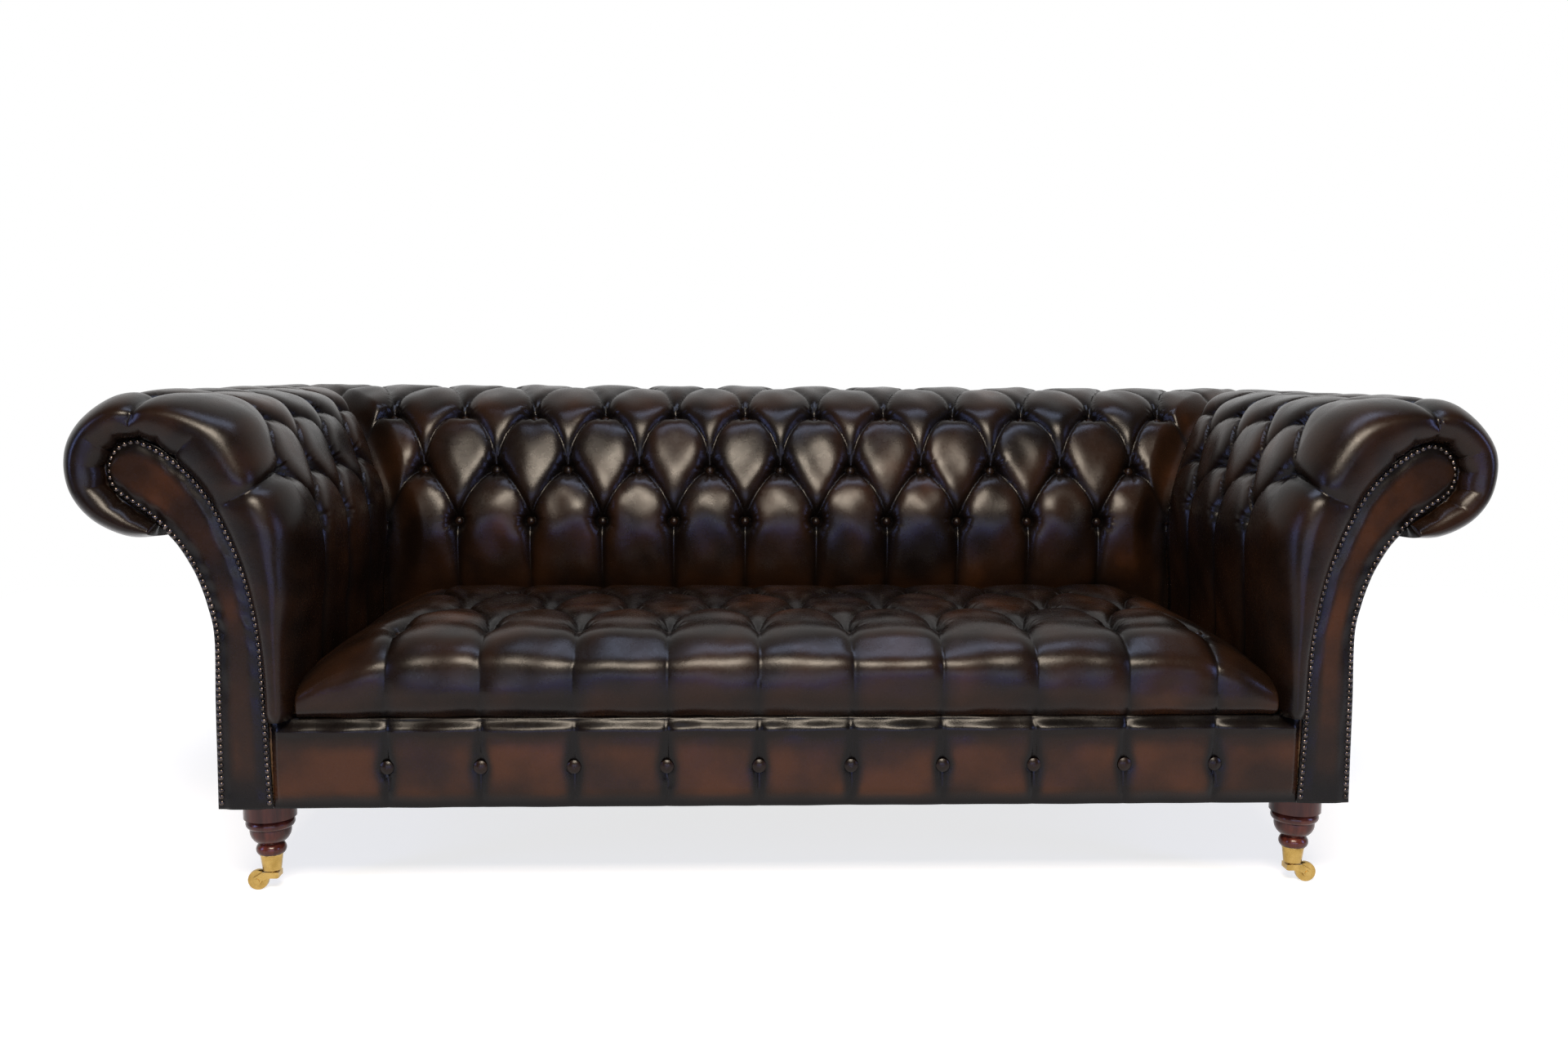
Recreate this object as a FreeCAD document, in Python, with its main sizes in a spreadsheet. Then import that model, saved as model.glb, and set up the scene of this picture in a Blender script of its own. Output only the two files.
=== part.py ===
import FreeCAD, Part
import Sketcher

import math
import os
from types import SimpleNamespace

# Chesterfield sofa, in millimetres. X runs across the sofa, Y runs from the front to the back, Z is up.
# The origin is on the floor, under the middle of the sofa.
#
# An arm and the back share one way of naming a place in their cross-section: the reach is the distance
# from the centre line of the roll towards the seat, and the height is measured from the floor.

Vector = FreeCAD.Vector

SIZES = {
    # overall layout
    "roll_spread": 985,  # middle of the sofa to the centre line of an arm's roll
    "roll_depth": 805,  # front of the facings to the centre line of the back's roll
    "roll_height": 690,  # floor to the centre line of the rolls
    "roll_radius": 112,  # leather over the rolls
    "inner_reach": 225,  # inside face of the arms and back at the seat
    "panel_reach": 105,  # outer face of the outside leather, half-way up
    "panel_lean": 4,  # how far the outside leather leans in over its height
    "pad_base": 304,  # lower edge of the padding of the arms and back
    "base_height": 162,  # lower edge of the facings, border and outside leather
    "fit_gap": 0.3,  # clearance between neighbouring pieces
    # buttoning of the arms
    "arm_first_button": 80,
    "arm_column_step": 71,
    "arm_low_reach": 201,
    "arm_low_height": 588,
    "arm_mid_reach": 166,
    "arm_mid_height": 670,
    "arm_high_reach": 120,
    "arm_high_height": 744,
    # buttoning of the back
    "back_column_step": 69,
    "back_low_reach": 213,
    "back_low_height": 542,
    "back_mid_reach": 181,
    "back_mid_height": 636,
    "back_high_reach": 132,
    "back_high_height": 729,
    # buttoning shared by both
    "top_button_reach": 4,
    "top_button_height": 775,
    "swell": 40,  # height of a cell of padding over its buttons
    "pleat_depth": 16,
    "wall_swell": 3,  # how far the cells stand out over the inside face of the arms and back
    "wall_tuck": 425,  # height at which they turn in over the seat
    "arm_bulge": 10,  # how far they stand out below the lowest buttons
    "back_bulge": 20,
    "pad_wrap": 31,  # thickness of the padding where it wraps the roll
    "core_reach": 172,  # face of the foam behind the padding, below the buttons
    "foam_gap": 1.2,  # clearance between that foam and the padding
    # seat
    "seat_seam": 304,  # seam between the seat and the front border
    "seat_crown": 438,
    "seat_button_height": 406,
    "seat_first_row": 100,
    "seat_row_step": 155,
    "seat_column_step": 71.5,
    "seat_shift": 20,  # the buttons of the seat and border lie this far off the middle
    "seat_padding": 56,  # from the pits of the seat's buttons down to the foam
    "lip_padding": 34,
    "seat_side_drop": 50,  # how far the seat falls away towards the arms
    "seat_side_run": 48,  # width of that slope
    # front border
    "border_half": 798,
    "border_swell": 14,
    "border_thick": 18,
    "border_button_height": 227,
    # facings and their nails
    "facing_thick": 5,
    "facing_foot_width": 81,
    "facing_shoulder_width": 74,
    "facing_shoulder_drop": 290,  # below the centre line of the roll
    "facing_knee_drop": 260,
    "board_thick": 18,
    "board_inset": 4,
    "scroll_bulge": 30,  # how far the padding stands out in front of the facing
    "nail_step": 9.8,
    "nail_inset": 5.2,
    "nail_radius": 4.5,
    "nail_dome": 3,
    "nail_shank": 0.8,
    "nail_length": 13,
    # buttons
    "button_radius": 7.5,
    "button_dome": 4.5,
    "button_stem": 8,
    "button_tuft": 1.6,
    "border_button_radius": 10.5,
    # frame
    "rail_thick": 30,
    "rail_base": 165,
    "rail_top": 285,
    "rib_thick": 22,
    "rib_half_spread": 290,
    "top_rail_width": 50,
    "tack_rail_height": 36,
    "cross_rail_width": 45,
    "cross_rail_height": 40,
    "block_length": 76,
    "leather": 4,  # outside leather with its lining
    "webbing_width": 50,
    "webbing_thick": 2,
    # springs
    "spring_spacing": 180,
    "spring_wire": 1.9,
    "spring_turn": 12,
    "spring_bar": 15,
    "clip_width": 18,
    "clip_thick": 2,
    "hessian_thick": 2,
    "dust_cover_thick": 1,
    # turned legs
    "leg_spread": 834,
    "front_leg_depth": 90,
    "rear_leg_depth": 625,
    "cup_top": 62,
    "cup_base": 34,
    "tenon_base": 38,
    "tenon_tip_radius": 12,
    "tenon_radius": 15,
    "ring_radius": 21,
    "ring_top": 76,
    "ring_bow": 11,
    "neck_radius": 18,
    "neck_top": 79,
    "bulb_radius": 32,
    "bulb_top": 104,
    "bulb_bow": 23,
    "bead_radius": 33,
    "bead_bow": 8.1,
    "bead_top": 120,
    "plinth_radius": 41,
    "plinth_base": 122,
    "bolt_radius": 4,
    "bolt_grip": 38,
    "nut_radius": 7.5,
    "nut_height": 8,
    # castors
    "cup_wall": 2.5,
    "cup_bead": 3.6,
    "pin_radius": 3,
    "collar_radius": 6.5,
    "horn_top": 30.8,
    "horn_base": 21,
    "horn_radius": 13,
    "horn_width": 22,
    "trail": 22,
    "wheel_radius": 16.5,
    "wheel_width": 11.2,
    "wheel_crown": 0.8,
    "wheel_slot": 12.4,
    "slot_radius": 17.6,
    "axle_radius": 2.5,
    "axle_head": 4.2,
    "axle_head_thick": 1.2,
    "eye_radius": 7.5,
    "running_gap": 0.05,
}

document = FreeCAD.newDocument("Chesterfield")
sheet = document.addObject("Spreadsheet::Sheet", "Sizes")
sub_parts = []


class Size:
    """A number together with the sheet expression that it comes from."""

    def __init__(self, value, text):
        self.value = float(value)
        self.text = text

    def join(self, other, sign, value):
        return Size(value, f"({self.text} {sign} {as_size(other).text})")

    def __add__(self, other):
        return self.join(other, "+", self.value + as_size(other).value)

    def __sub__(self, other):
        return self.join(other, "-", self.value - as_size(other).value)

    def __mul__(self, other):
        return self.join(other, "*", self.value * as_size(other).value)

    def __truediv__(self, other):
        return self.join(other, "/", self.value / as_size(other).value)

    def __neg__(self):
        return Size(-self.value, f"(0 - {self.text})")


def as_size(thing):
    return thing if isinstance(thing, Size) else Size(thing, f"{thing:g}")


def fill_sheet():
    """Writes every size into the sheet and returns the sizes as expressions and as plain numbers."""
    for row, (name, value) in enumerate(SIZES.items(), start=1):
        sheet.set(f"A{row}", str(value))
        sheet.setAlias(f"A{row}", name)
    document.recompute()
    linked = {name: Size(sheet.get(name), f"Sizes.{name}") for name in SIZES}
    plain = {name: float(sheet.get(name)) for name in SIZES}
    return SimpleNamespace(**linked), SimpleNamespace(**plain)


S, n = fill_sheet()

# Derived places that many pieces share.
FRONT = (S.scroll_bulge - S.roll_depth - S.roll_radius) / 2  # Y of the fronts of the facings
BACK_ROLL = FRONT + S.roll_depth
RAIL_OUT = S.panel_reach + S.leather + S.panel_lean  # reach of the outer face of the rails
RAIL_IN = RAIL_OUT + S.rail_thick
SIDE_OUT = S.roll_spread - RAIL_OUT
SIDE_IN = S.roll_spread - RAIL_IN
REAR_OUT = BACK_ROLL - RAIL_OUT
REAR_IN = BACK_ROLL - RAIL_IN
HEAD_RADIUS = S.top_rail_width * 0.92  # round head of a rib, which holds the top rail
BOARD_FRONT = FRONT + S.facing_thick
BOARD_BACK = BOARD_FRONT + S.board_thick
RAIL_FRONT = BOARD_BACK
SEAT_FOAM_TOP = S.seat_button_height - S.seat_padding
SEAT_EDGE = S.inner_reach + S.wall_swell + S.fit_gap  # reach of the seat's sides and rear
HESSIAN_BASE = S.rail_top + S.clip_thick + S.spring_wire * 2 + 0.1
LEG_TOP = S.rail_base
FRONT_Y = FRONT.value
ROLL_Y = BACK_ROLL.value


def keep(item, name):
    """Names an object as one of the sub-parts that are written out."""
    item.Label = name
    sub_parts.append(item)
    return item


def place(item, x, y, z, turn=0.0):
    """Binds an object's place to sheet expressions, turned about the vertical by a fixed angle."""
    item.Placement = FreeCAD.Placement(Vector(), FreeCAD.Rotation(Vector(0, 0, 1), turn))
    for axis, size in (("x", x), ("y", y), ("z", z)):
        item.setExpression(f"Placement.Base.{axis}", as_size(size).text)
    return item


def box(name, x_range, y_range, z_range):
    """A box between two corners."""
    item = document.addObject("Part::Box", name)
    for side, (low, high) in (("Length", x_range), ("Width", y_range), ("Height", z_range)):
        item.setExpression(side, (as_size(high) - low).text)
    return place(item, x_range[0], y_range[0], z_range[0])


def upright(name, radius, x, y, z_range):
    """An upright cylinder."""
    item = document.addObject("Part::Cylinder", name)
    item.setExpression("Radius", as_size(radius).text)
    item.setExpression("Height", (as_size(z_range[1]) - z_range[0]).text)
    return place(item, x, y, z_range[0])


def cut(name, base, tool):
    item = document.addObject("Part::Cut", name)
    item.Base = base
    item.Tool = tool
    return item


def together(name, members):
    """Several loose objects as one."""
    item = document.addObject("Part::Compound", name)
    item.Links = members
    return item


def shaped(name, shape):
    """A sub-part whose shape is worked out by the functions below."""
    item = document.addObject("Part::Feature", name)
    item.Shape = shape
    item.Placement = FreeCAD.Placement()
    return keep(item, name)


# Sections: a line is a list of places that alternates corners and the middles of the edges between them.


def blend(a, b, share=0.5):
    return tuple(p + (q - p) * share for p, q in zip(a, b))


def edge(start, middle, end):
    """An arc through three points, or a straight edge where they are in line."""
    chord = end - start
    bow = (middle - start).cross(chord).Length / chord.Length
    if bow < 0.02:
        return Part.LineSegment(start, end).toShape()
    return Part.Arc(start, middle, end).toShape()


def outline_wire(points):
    """A closed wire through corners and edge middles in turn."""
    count = len(points)
    edges = [edge(points[i], points[i + 1], points[(i + 2) % count]) for i in range(0, count, 2)]
    return Part.Wire(edges)


def straight(corners):
    """Adds the middles of straight edges between corners."""
    line = [corners[0]]
    for a, b in zip(corners, corners[1:]):
        line += [blend(a, b), b]
    return line


def closed(outer, inner):
    """Joins an outer and an inner line into one closed section."""
    return outer + [blend(outer[-1], inner[0])] + inner + [blend(inner[-1], outer[0])]


def on_circle(radius, degrees, height):
    """A place on a circle about the centre line of a roll, as reach and height."""
    angle = math.radians(degrees)
    return (radius * math.cos(angle), height + radius * math.sin(angle))


def pushed(line, amount):
    """Moves a line outwards by an amount, square to its own direction at each point."""
    moved = []
    for i, point in enumerate(line):
        before = line[max(i - 1, 0)]
        after = line[min(i + 1, len(line) - 1)]
        run = (after[0] - before[0], after[1] - before[1])
        length = math.hypot(*run)
        moved.append((point[0] + run[1] / length * amount, point[1] - run[0] / length * amount))
    return moved


class ButtonedPad:
    """The outer line of a buttoned pad.

    rows lists, in order along the line, the place of each row's buttons and the top of the cell over them.
    Rows are buttoned at alternate columns. head and tail are the stretches before and after the rows, each
    as it runs over a swelling cell and in a pleat. end is where the last cell ends at a column without a
    button in the last row.
    """

    pit_half = 3.0
    halfway_swell = 0.72

    def __init__(self, rows, head, tail, end):
        self.pits = [pit for pit, top in rows]
        self.tops = [top for pit, top in rows]
        self.head = head
        self.tail = tail
        self.end = end

    def pit_side(self, row, sign):
        """The edge of a button's pit, towards the next row or the one before."""
        last = len(self.pits) - 1
        before = self.pits[max(row - 1, 0)]
        after = self.pits[min(row + 1, last)]
        run = (after[0] - before[0], after[1] - before[1])
        length = math.hypot(*run)
        pit = self.pits[row]
        return tuple(p + sign * self.pit_half * r / length for p, r in zip(pit, run))

    def button_foot(self, row):
        """Where the foot of a row's buttons rests on the line."""
        if row:
            return self.pits[row]
        start = self.head[1][-1]
        goal = self.pit_side(0, 1)
        return blend(goal, start, self.pit_half / math.dist(goal, start))

    def column(self, parity):
        """The line at a column that is buttoned in every row of the given parity."""
        last = len(self.pits) - 1
        line = list(self.head[0 if parity == 1 else 1])
        for row in range(last + 1):
            buttoned = row % 2 == parity
            if buttoned:
                goal = self.pit_side(row, 1)
                line += [blend(line[-1], goal) if row == 0 else self.pits[row], goal]
            else:
                goal = self.end if row == last else self.pit_side(row + 1, -1)
                line += [self.tops[row], goal]
        return line + list(self.tail[0 if last % 2 != parity else 1])

    def halfway(self):
        """The line halfway between two neighbouring columns."""
        even = self.column(0)
        odd = self.column(1)
        line = [blend(a, b) for a, b in zip(even, odd)]
        start = len(self.head[0]) - 1
        for row in range(len(self.pits)):
            line[start + 2 * row + 1] = blend(self.pits[row], self.tops[row], self.halfway_swell)
        return line

    def plain(self):
        """The line without buttons, over the tops of the cells."""
        line = list(self.head[0])
        last = len(self.pits) - 1
        for row in range(last + 1):
            line.append(self.tops[row])
            line.append(self.end if row == last else blend(self.tops[row], self.tops[row + 1]))
        return line + list(self.tail[0])


def loft(sections):
    """A solid through closed sections."""
    return Part.makeLoft([outline_wire(points) for points in sections], True, True)


# The arms and back.


def cell_top(pit, degrees):
    """The top of the cell over a row of buttons, square to the leather there."""
    angle = math.radians(degrees)
    return (pit[0] + n.swell * math.cos(angle), pit[1] + n.swell * math.sin(angle))


def roll_pad(rows, bulge):
    """The buttoned line of an arm or the back, from the seat up and round the roll."""
    reach = n.inner_reach
    knee = (n.wall_tuck + rows[0][0][1]) / 2
    swelling = straight([(reach, n.pad_base), (reach + n.wall_swell, n.wall_tuck), (reach + bulge, knee)])
    reach -= n.pleat_depth
    pleated = straight([(reach, n.pad_base), (reach, n.wall_tuck), (reach, knee)])
    tails = []
    for radius in (n.roll_radius, n.roll_radius - n.pleat_depth / 2):
        tails.append([on_circle(radius, angle, n.roll_height) for angle in (137, 180, 233, 284)])
    return ButtonedPad(rows, (swelling, pleated), tails, on_circle(n.roll_radius, 91, n.roll_height))


def button_rows(low, mid, high):
    """The four rows of an arm or the back, each with the top of the cell over it."""
    top = (n.top_button_reach, n.top_button_height)
    return [
        (low, cell_top(low, 8)),
        (mid, cell_top(mid, 20)),
        (high, cell_top(high, 44)),
        (top, on_circle(n.roll_radius, 82, n.roll_height)),
    ]


def arm_pad():
    low = (n.arm_low_reach, n.arm_low_height)
    mid = (n.arm_mid_reach, n.arm_mid_height)
    high = (n.arm_high_reach, n.arm_high_height)
    return roll_pad(button_rows(low, mid, high), n.arm_bulge)


def back_pad():
    low = (n.back_low_reach, n.back_low_height)
    mid = (n.back_mid_reach, n.back_mid_height)
    high = (n.back_high_reach, n.back_high_height)
    return roll_pad(button_rows(low, mid, high), n.back_bulge)


def core_line(inset=0.0):
    """The face between padding and foam, from under the roll round to the base."""
    radius = n.roll_radius - n.pad_wrap
    height = n.roll_height
    base = (n.core_reach, n.pad_base)
    bend = (n.core_reach, height - radius * 2.1)
    return pushed(
        [
            on_circle(radius, 284, height),
            on_circle(radius, 233, height),
            on_circle(radius, 180, height),
            on_circle(radius, 135, height),
            on_circle(radius, 90, height),
            (n.core_reach * 0.5, height + radius * 0.6),
            (n.core_reach - radius * 0.395, height - radius * 0.37),
            (n.core_reach - radius * 0.11, height - radius * 1.173),
            bend,
            blend(bend, base),
            base,
        ],
        inset,
    )


# Lengths below the centre line of the roll, as shares of the rib's round head.
POST_BEND = 4.565
NECK_DROP = 2.435
NECK_STEP = 0.304
OUTER_NECK_DROP = 2.717
OUTER_NECK_STEP = 0.717
OUTER_BEND = 5.652


def neck_place(reach, height):
    """Where the inner side of a rib runs from its post into its head."""
    head = HEAD_RADIUS.value
    return (reach - head * NECK_STEP, height - head * NECK_DROP)


def frame_line():
    """The face between foam and frame, in as many edges as the core line."""
    height = n.roll_height
    gap = n.webbing_thick + n.fit_gap
    head = HEAD_RADIUS.value + gap
    reach = RAIL_IN.value + gap
    base = (reach, n.pad_base)
    bend = (reach, height - HEAD_RADIUS.value * POST_BEND)
    middle = blend(bend, base)
    return [
        on_circle(head, 284, height),
        on_circle(head, 233, height),
        on_circle(head, 180, height),
        on_circle(head, 105, height),
        on_circle(head, 30, height),
        neck_place(reach, height),
        bend,
        blend(bend, middle),
        middle,
        blend(middle, base),
        base,
    ]


# The facing's scroll, from its inner shoulder round to its outer knee, as shares of the roll's radius:
# reach from the roll's centre line and height over it.
SCROLL = (
    (1.411, -1.446),
    (0.991, -0.446),
    (0.598, 0.036),
    (0.062, 0.366),
    (-0.223, 0.277),
    (-0.375, -0.045),
    (-0.348, -0.259),
    (-0.188, -0.438),
    (0.25, -0.768),
    (0.527, -1.071),
    (0.768, -1.518),
)


def facing_line(outset=0.0):
    """Edge of the facing, from the foot of its inner side over the scroll to the foot of its outer side."""
    radius = n.roll_radius
    outer_foot = (n.panel_reach - n.panel_lean / 2, n.base_height)
    outer_knee = (n.panel_reach + n.panel_lean / 2, n.roll_height - n.facing_knee_drop)
    inner_foot = (n.panel_reach + n.facing_foot_width, n.base_height)
    shoulder = (n.panel_reach + n.facing_shoulder_width, n.roll_height - n.facing_shoulder_drop)
    scroll = [(reach * radius, n.roll_height + rise * radius) for reach, rise in SCROLL]
    points = [inner_foot, blend(inner_foot, shoulder), shoulder]
    points += scroll
    points += [outer_knee, blend(outer_knee, outer_foot), outer_foot]
    return pushed(points, outset)


def facing_shape(inset=0.0):
    """The facing's outline as points in a section."""
    line = facing_line(-inset)
    return line + [blend(line[-1], line[0])]


def arm_point(y):
    """Where a place of the arm's section lies, in a section square to the arm."""
    return lambda place: Vector(n.roll_spread - place[0], y, place[1])


def arm_mitre(place):
    """Where a place of the arm's section lies in the corner, where arm and back meet at 45 degrees."""
    return Vector(n.roll_spread - place[0], ROLL_Y - place[0] - n.fit_gap / 2, place[1])


def back_point(x):
    return lambda place: Vector(x, ROLL_Y - place[0], place[1])


def back_mitre(side):
    return lambda place: Vector(
        side * (n.roll_spread - place[0] - n.fit_gap / 2), ROLL_Y - place[0], place[1]
    )


def section(points, locate):
    return [locate(point) for point in points]


def tucked(pad):
    """The pad's line in the corner, where it is pulled in."""
    return pushed(pad.plain(), -n.pleat_depth * 0.75)


def arm_columns():
    """Where the arm is buttoned: distance behind the facing and which rows."""
    return [(n.arm_first_button + i * n.arm_column_step, 1 - i % 2) for i in range(7)]


def back_columns():
    """Where the back is buttoned: X and which rows."""
    return [(i * n.back_column_step, 1 - abs(i) % 2) for i in range(-10, 11)]


def ring_line():
    """The facing's edge where the arm's padding meets it, from under the roll round to the base."""
    edge_line = facing_line(n.fit_gap)
    inner_foot = edge_line[0]
    shoulder = edge_line[2]
    share = (n.pad_base - inner_foot[1]) / (shoulder[1] - inner_foot[1])
    base = blend(inner_foot, shoulder, share)
    return edge_line[10:2:-1] + [shoulder, blend(shoulder, base), base]


def ring_section(outer, inner, drawn):
    """The padding round a facing, drawn in from both sides towards its rounded front edge."""
    outer_line = pushed(outer, -drawn)
    inner_line = pushed(inner, -drawn)
    share = drawn / n.scroll_bulge * 0.6
    outer_line[-1] = blend(outer[-1], inner[0], share)
    inner_line[0] = blend(inner[0], outer[-1], share)
    return closed(outer_line, inner_line)


def arm_cover_shape():
    """Padding and leather of the right arm: buttoned inside, smooth and rounded at its front edge."""
    pad = arm_pad()
    smooth = pad.plain()
    ring = ring_line()
    board = BOARD_BACK.value
    sections = []
    for share, inset in ((1.0, 0.5), (0.74, 0.2), (0.0, 0.0)):
        y = FRONT_Y - n.scroll_bulge * share
        sections.append(section(ring_section(smooth, ring, inset * n.scroll_bulge), arm_point(y)))
    sections.append(section(closed(smooth, ring), arm_point(board)))
    sections.append(section(closed(smooth, core_line()), arm_point(board + 1)))
    columns = arm_columns()
    for i, (distance, parity) in enumerate(columns):
        if i:
            middle = distance - n.arm_column_step / 2
            sections.append(section(closed(pad.halfway(), core_line()), arm_point(FRONT_Y + middle)))
        sections.append(section(closed(pad.column(parity), core_line()), arm_point(FRONT_Y + distance)))
    sections.append(section(closed(tucked(pad), core_line()), arm_mitre))
    return loft(sections)


def arm_foam_shape():
    outline = closed(core_line(n.foam_gap), frame_line()[::-1])
    start = BOARD_BACK.value + 1 + n.fit_gap
    last = FRONT_Y + arm_columns()[-1][0]
    return loft([section(outline, locate) for locate in (arm_point(start), arm_point(last), arm_mitre)])


def back_cover_shape():
    """Padding and leather of the back, from corner to corner."""
    pad = back_pad()
    core = core_line()
    sections = [section(closed(tucked(pad), core), back_mitre(-1))]
    for i, (x, parity) in enumerate(back_columns()):
        if i:
            middle = x - n.back_column_step / 2
            sections.append(section(closed(pad.halfway(), core), back_point(middle)))
        sections.append(section(closed(pad.column(parity), core), back_point(x)))
    sections.append(section(closed(tucked(pad), core), back_mitre(1)))
    return loft(sections)


def back_foam_shape():
    outline = closed(core_line(n.foam_gap), frame_line()[::-1])
    return loft([section(outline, locate) for locate in back_stations()])


def back_stations():
    """The back's corners and its outermost columns: between those its sections are all alike."""
    last = back_columns()[-1][0]
    return [back_mitre(-1), back_point(-last), back_point(last), back_mitre(1)]


def outside_line():
    """Outer face of the outside leather, from the bottom up to the underside of the roll."""
    line = facing_line(-2)[::-1]
    return line[0:5] + [blend(line[4], line[5]), line[5]]


def outside_section():
    """Section of the outside leather of an arm or the back."""
    outer = outside_line()
    return closed(outer, pushed(outer, n.leather)[::-1])


def mirrored(shape):
    return shape.mirror(Vector(), Vector(1, 0, 0))


def pair(name, shape):
    """A right-hand piece and its mirror image on the left."""
    shaped(f"right_{name}", shape)
    shaped(f"left_{name}", mirrored(shape))


# Buttons and nails.


def turned_shape(points):
    """A solid turned about the vertical from a closed outline of radius and height."""
    profile = Part.Face(outline_wire([Vector(r, 0, z) for r, z in points]))
    return profile.revolve(Vector(), Vector(0, 0, 1), 360)


def dome(radius, rim, top):
    """The middle and the top of a round dome over a rim of the given radius and height."""
    rise = top - rim
    ball = (radius * radius + rise * rise) / (2 * rise)
    half_angle = math.asin(radius / ball) / 2
    return [(ball * math.sin(half_angle), top - ball + ball * math.cos(half_angle)), (0, top)]


def button_shape(radius):
    """A covered button on its tuft: the tuft's foot is at the origin and the dome looks along Z."""
    tuft = n.button_tuft
    rim = n.button_stem
    foot = [(0, 0), (tuft / 8, 0), (tuft, tuft * 1.4), (tuft, rim - 1)]
    profile = straight(foot + [(radius, rim), (radius, rim + 1)])
    return turned_shape(profile + dome(radius, rim + 1, rim + n.button_dome) + [(0, rim / 2)])


def aimed(shape, spot, direction):
    """A copy of a shape with its Z axis turned to a direction."""
    copy = shape.copy()
    copy.Placement = FreeCAD.Placement(spot, FreeCAD.Rotation(Vector(0, 0, 1), direction))
    return copy


def arm_button_shapes():
    shape = button_shape(n.button_radius)
    found = []
    pad = arm_pad()
    for distance, parity in arm_columns():
        for row, top in enumerate(pad.tops):
            if row % 2 != parity:
                continue
            pit = pad.button_foot(row)
            y = FRONT_Y + distance
            out = Vector(pit[0] - top[0], 0, top[1] - pit[1]) if row < 3 else Vector(0, 0, 1)
            spot = arm_point(y)(pit) + out.normalize() * n.fit_gap
            found.append(aimed(shape, spot, out))
            found.append(aimed(shape, Vector(-spot.x, spot.y, spot.z), Vector(-out.x, out.y, out.z)))
    return Part.Compound(found)


def back_button_shapes():
    shape = button_shape(n.button_radius)
    found = []
    pad = back_pad()
    for x, parity in back_columns():
        for row, top in enumerate(pad.tops):
            if row % 2 != parity:
                continue
            pit = pad.button_foot(row)
            out = Vector(0, pit[0] - top[0], top[1] - pit[1]) if row < 3 else Vector(0, 0, 1)
            found.append(aimed(shape, back_point(x)(pit) + out.normalize() * n.fit_gap, out))
    return Part.Compound(found)


def nail_places():
    """Places along the facing's edge, one step apart."""
    line = facing_line(-n.nail_inset)
    edges = []
    for i in range(0, len(line) - 1, 2):
        edges.append(edge(*[Vector(place[0], 0, place[1]) for place in line[i : i + 3]]))
    route = Part.Wire(edges)
    count = int(route.Length / n.nail_step)
    return route.discretize(count)[1:-1]


def nail_shape(shank_radius, length):
    """A nail pointing into the board, with the underside of its head at the origin."""
    head = n.nail_radius
    profile = straight([(0, 0), (0, -length), (shank_radius, -length), (shank_radius, 0), (head, 0)])
    return turned_shape(profile + dome(head, 0, n.nail_dome) + [(0, n.nail_dome / 2)])


def nails_on_facing(shank_radius, length):
    """Nails of the right facing."""
    shape = nail_shape(shank_radius, length)
    found = []
    for place in nail_places():
        spot = Vector(n.roll_spread - place.x, FRONT_Y, place.z)
        found.append(aimed(shape, spot, Vector(0, -1, 0)))
    return Part.Compound(found)


def plate(points, y_front, thick):
    """A flat plate of the facing's shape, square to Y."""
    face = Part.Face(outline_wire(section(points, arm_point(y_front))))
    return face.extrude(Vector(0, thick, 0))


# The seat and the front border.


def seat_rows():
    rows = []
    for row in range(3):
        distance = n.seat_first_row + row * n.seat_row_step
        rows.append(((distance, n.seat_button_height), (distance, n.seat_crown)))
    return rows


def seat_pad():
    """The seat's line, as distance behind the facings and height, from the seam over the lip to the back."""
    knee_height = n.seat_crown - 26
    nose = (-n.lip_padding * 0.4, blend((n.seat_seam,), (knee_height,), 0.5)[0])
    swelling = [(4, n.seat_seam), nose, (16, knee_height)]
    pleated = [(4, n.seat_seam), (nose[0] + n.pleat_depth * 0.7, nose[1]), (22, knee_height - n.pleat_depth)]
    rear = n.roll_depth - SEAT_EDGE.value
    end = (rear - 25, n.seat_button_height)
    tails = [
        straight([end, (rear, n.seat_button_height - 6)])[1:],
        straight([end, (rear, n.seat_button_height - n.pleat_depth)])[1:],
    ]
    return ButtonedPad(seat_rows(), (swelling, pleated), tails, end)


def seat_core_line():
    rear = n.roll_depth - SEAT_EDGE.value
    top = SEAT_FOAM_TOP.value
    return straight([(rear, top), (n.lip_padding, top), (n.lip_padding, n.seat_seam)])


def seat_columns():
    """Where the seat is buttoned: X and which rows."""
    return [(n.seat_shift + (i - 9) * n.seat_column_step, i % 2) for i in range(19)]


def seat_point(x):
    return lambda place: Vector(x, FRONT_Y + place[0], place[1])


def lowered(line, drop):
    """The seat's line pressed down towards its seam, most where it is highest."""
    base = n.seat_seam
    share = 1 - drop / (n.seat_crown - base)
    return [(distance, base + (height - base) * share) for distance, height in line]


def seat_cover_shape():
    pad = seat_pad()
    core = seat_core_line()
    half = n.roll_spread - SEAT_EDGE.value
    side = closed(lowered(pad.plain(), n.seat_side_drop), core)
    shoulder = closed(lowered(pad.plain(), n.seat_side_drop / 5), core)
    sections = [section(side, seat_point(-half)), section(shoulder, seat_point(n.seat_side_run - half))]
    columns = seat_columns()
    for i, (x, parity) in enumerate(columns):
        if i:
            middle = x - n.seat_column_step / 2
            sections.append(section(closed(pad.halfway(), core), seat_point(middle)))
        sections.append(section(closed(pad.column(parity), core), seat_point(x)))
    sections.append(section(shoulder, seat_point(half - n.seat_side_run)))
    sections.append(section(side, seat_point(half)))
    return loft(sections)


def seat_button_shapes():
    shape = button_shape(n.button_radius)
    found = []
    up = Vector(0, 0, 1)
    pad = seat_pad()
    for x, parity in seat_columns():
        for row in range(len(pad.pits)):
            if row % 2 == parity:
                foot = seat_point(x)(pad.button_foot(row))
                found.append(aimed(shape, foot + up * n.fit_gap, up))
    return Part.Compound(found)


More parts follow.
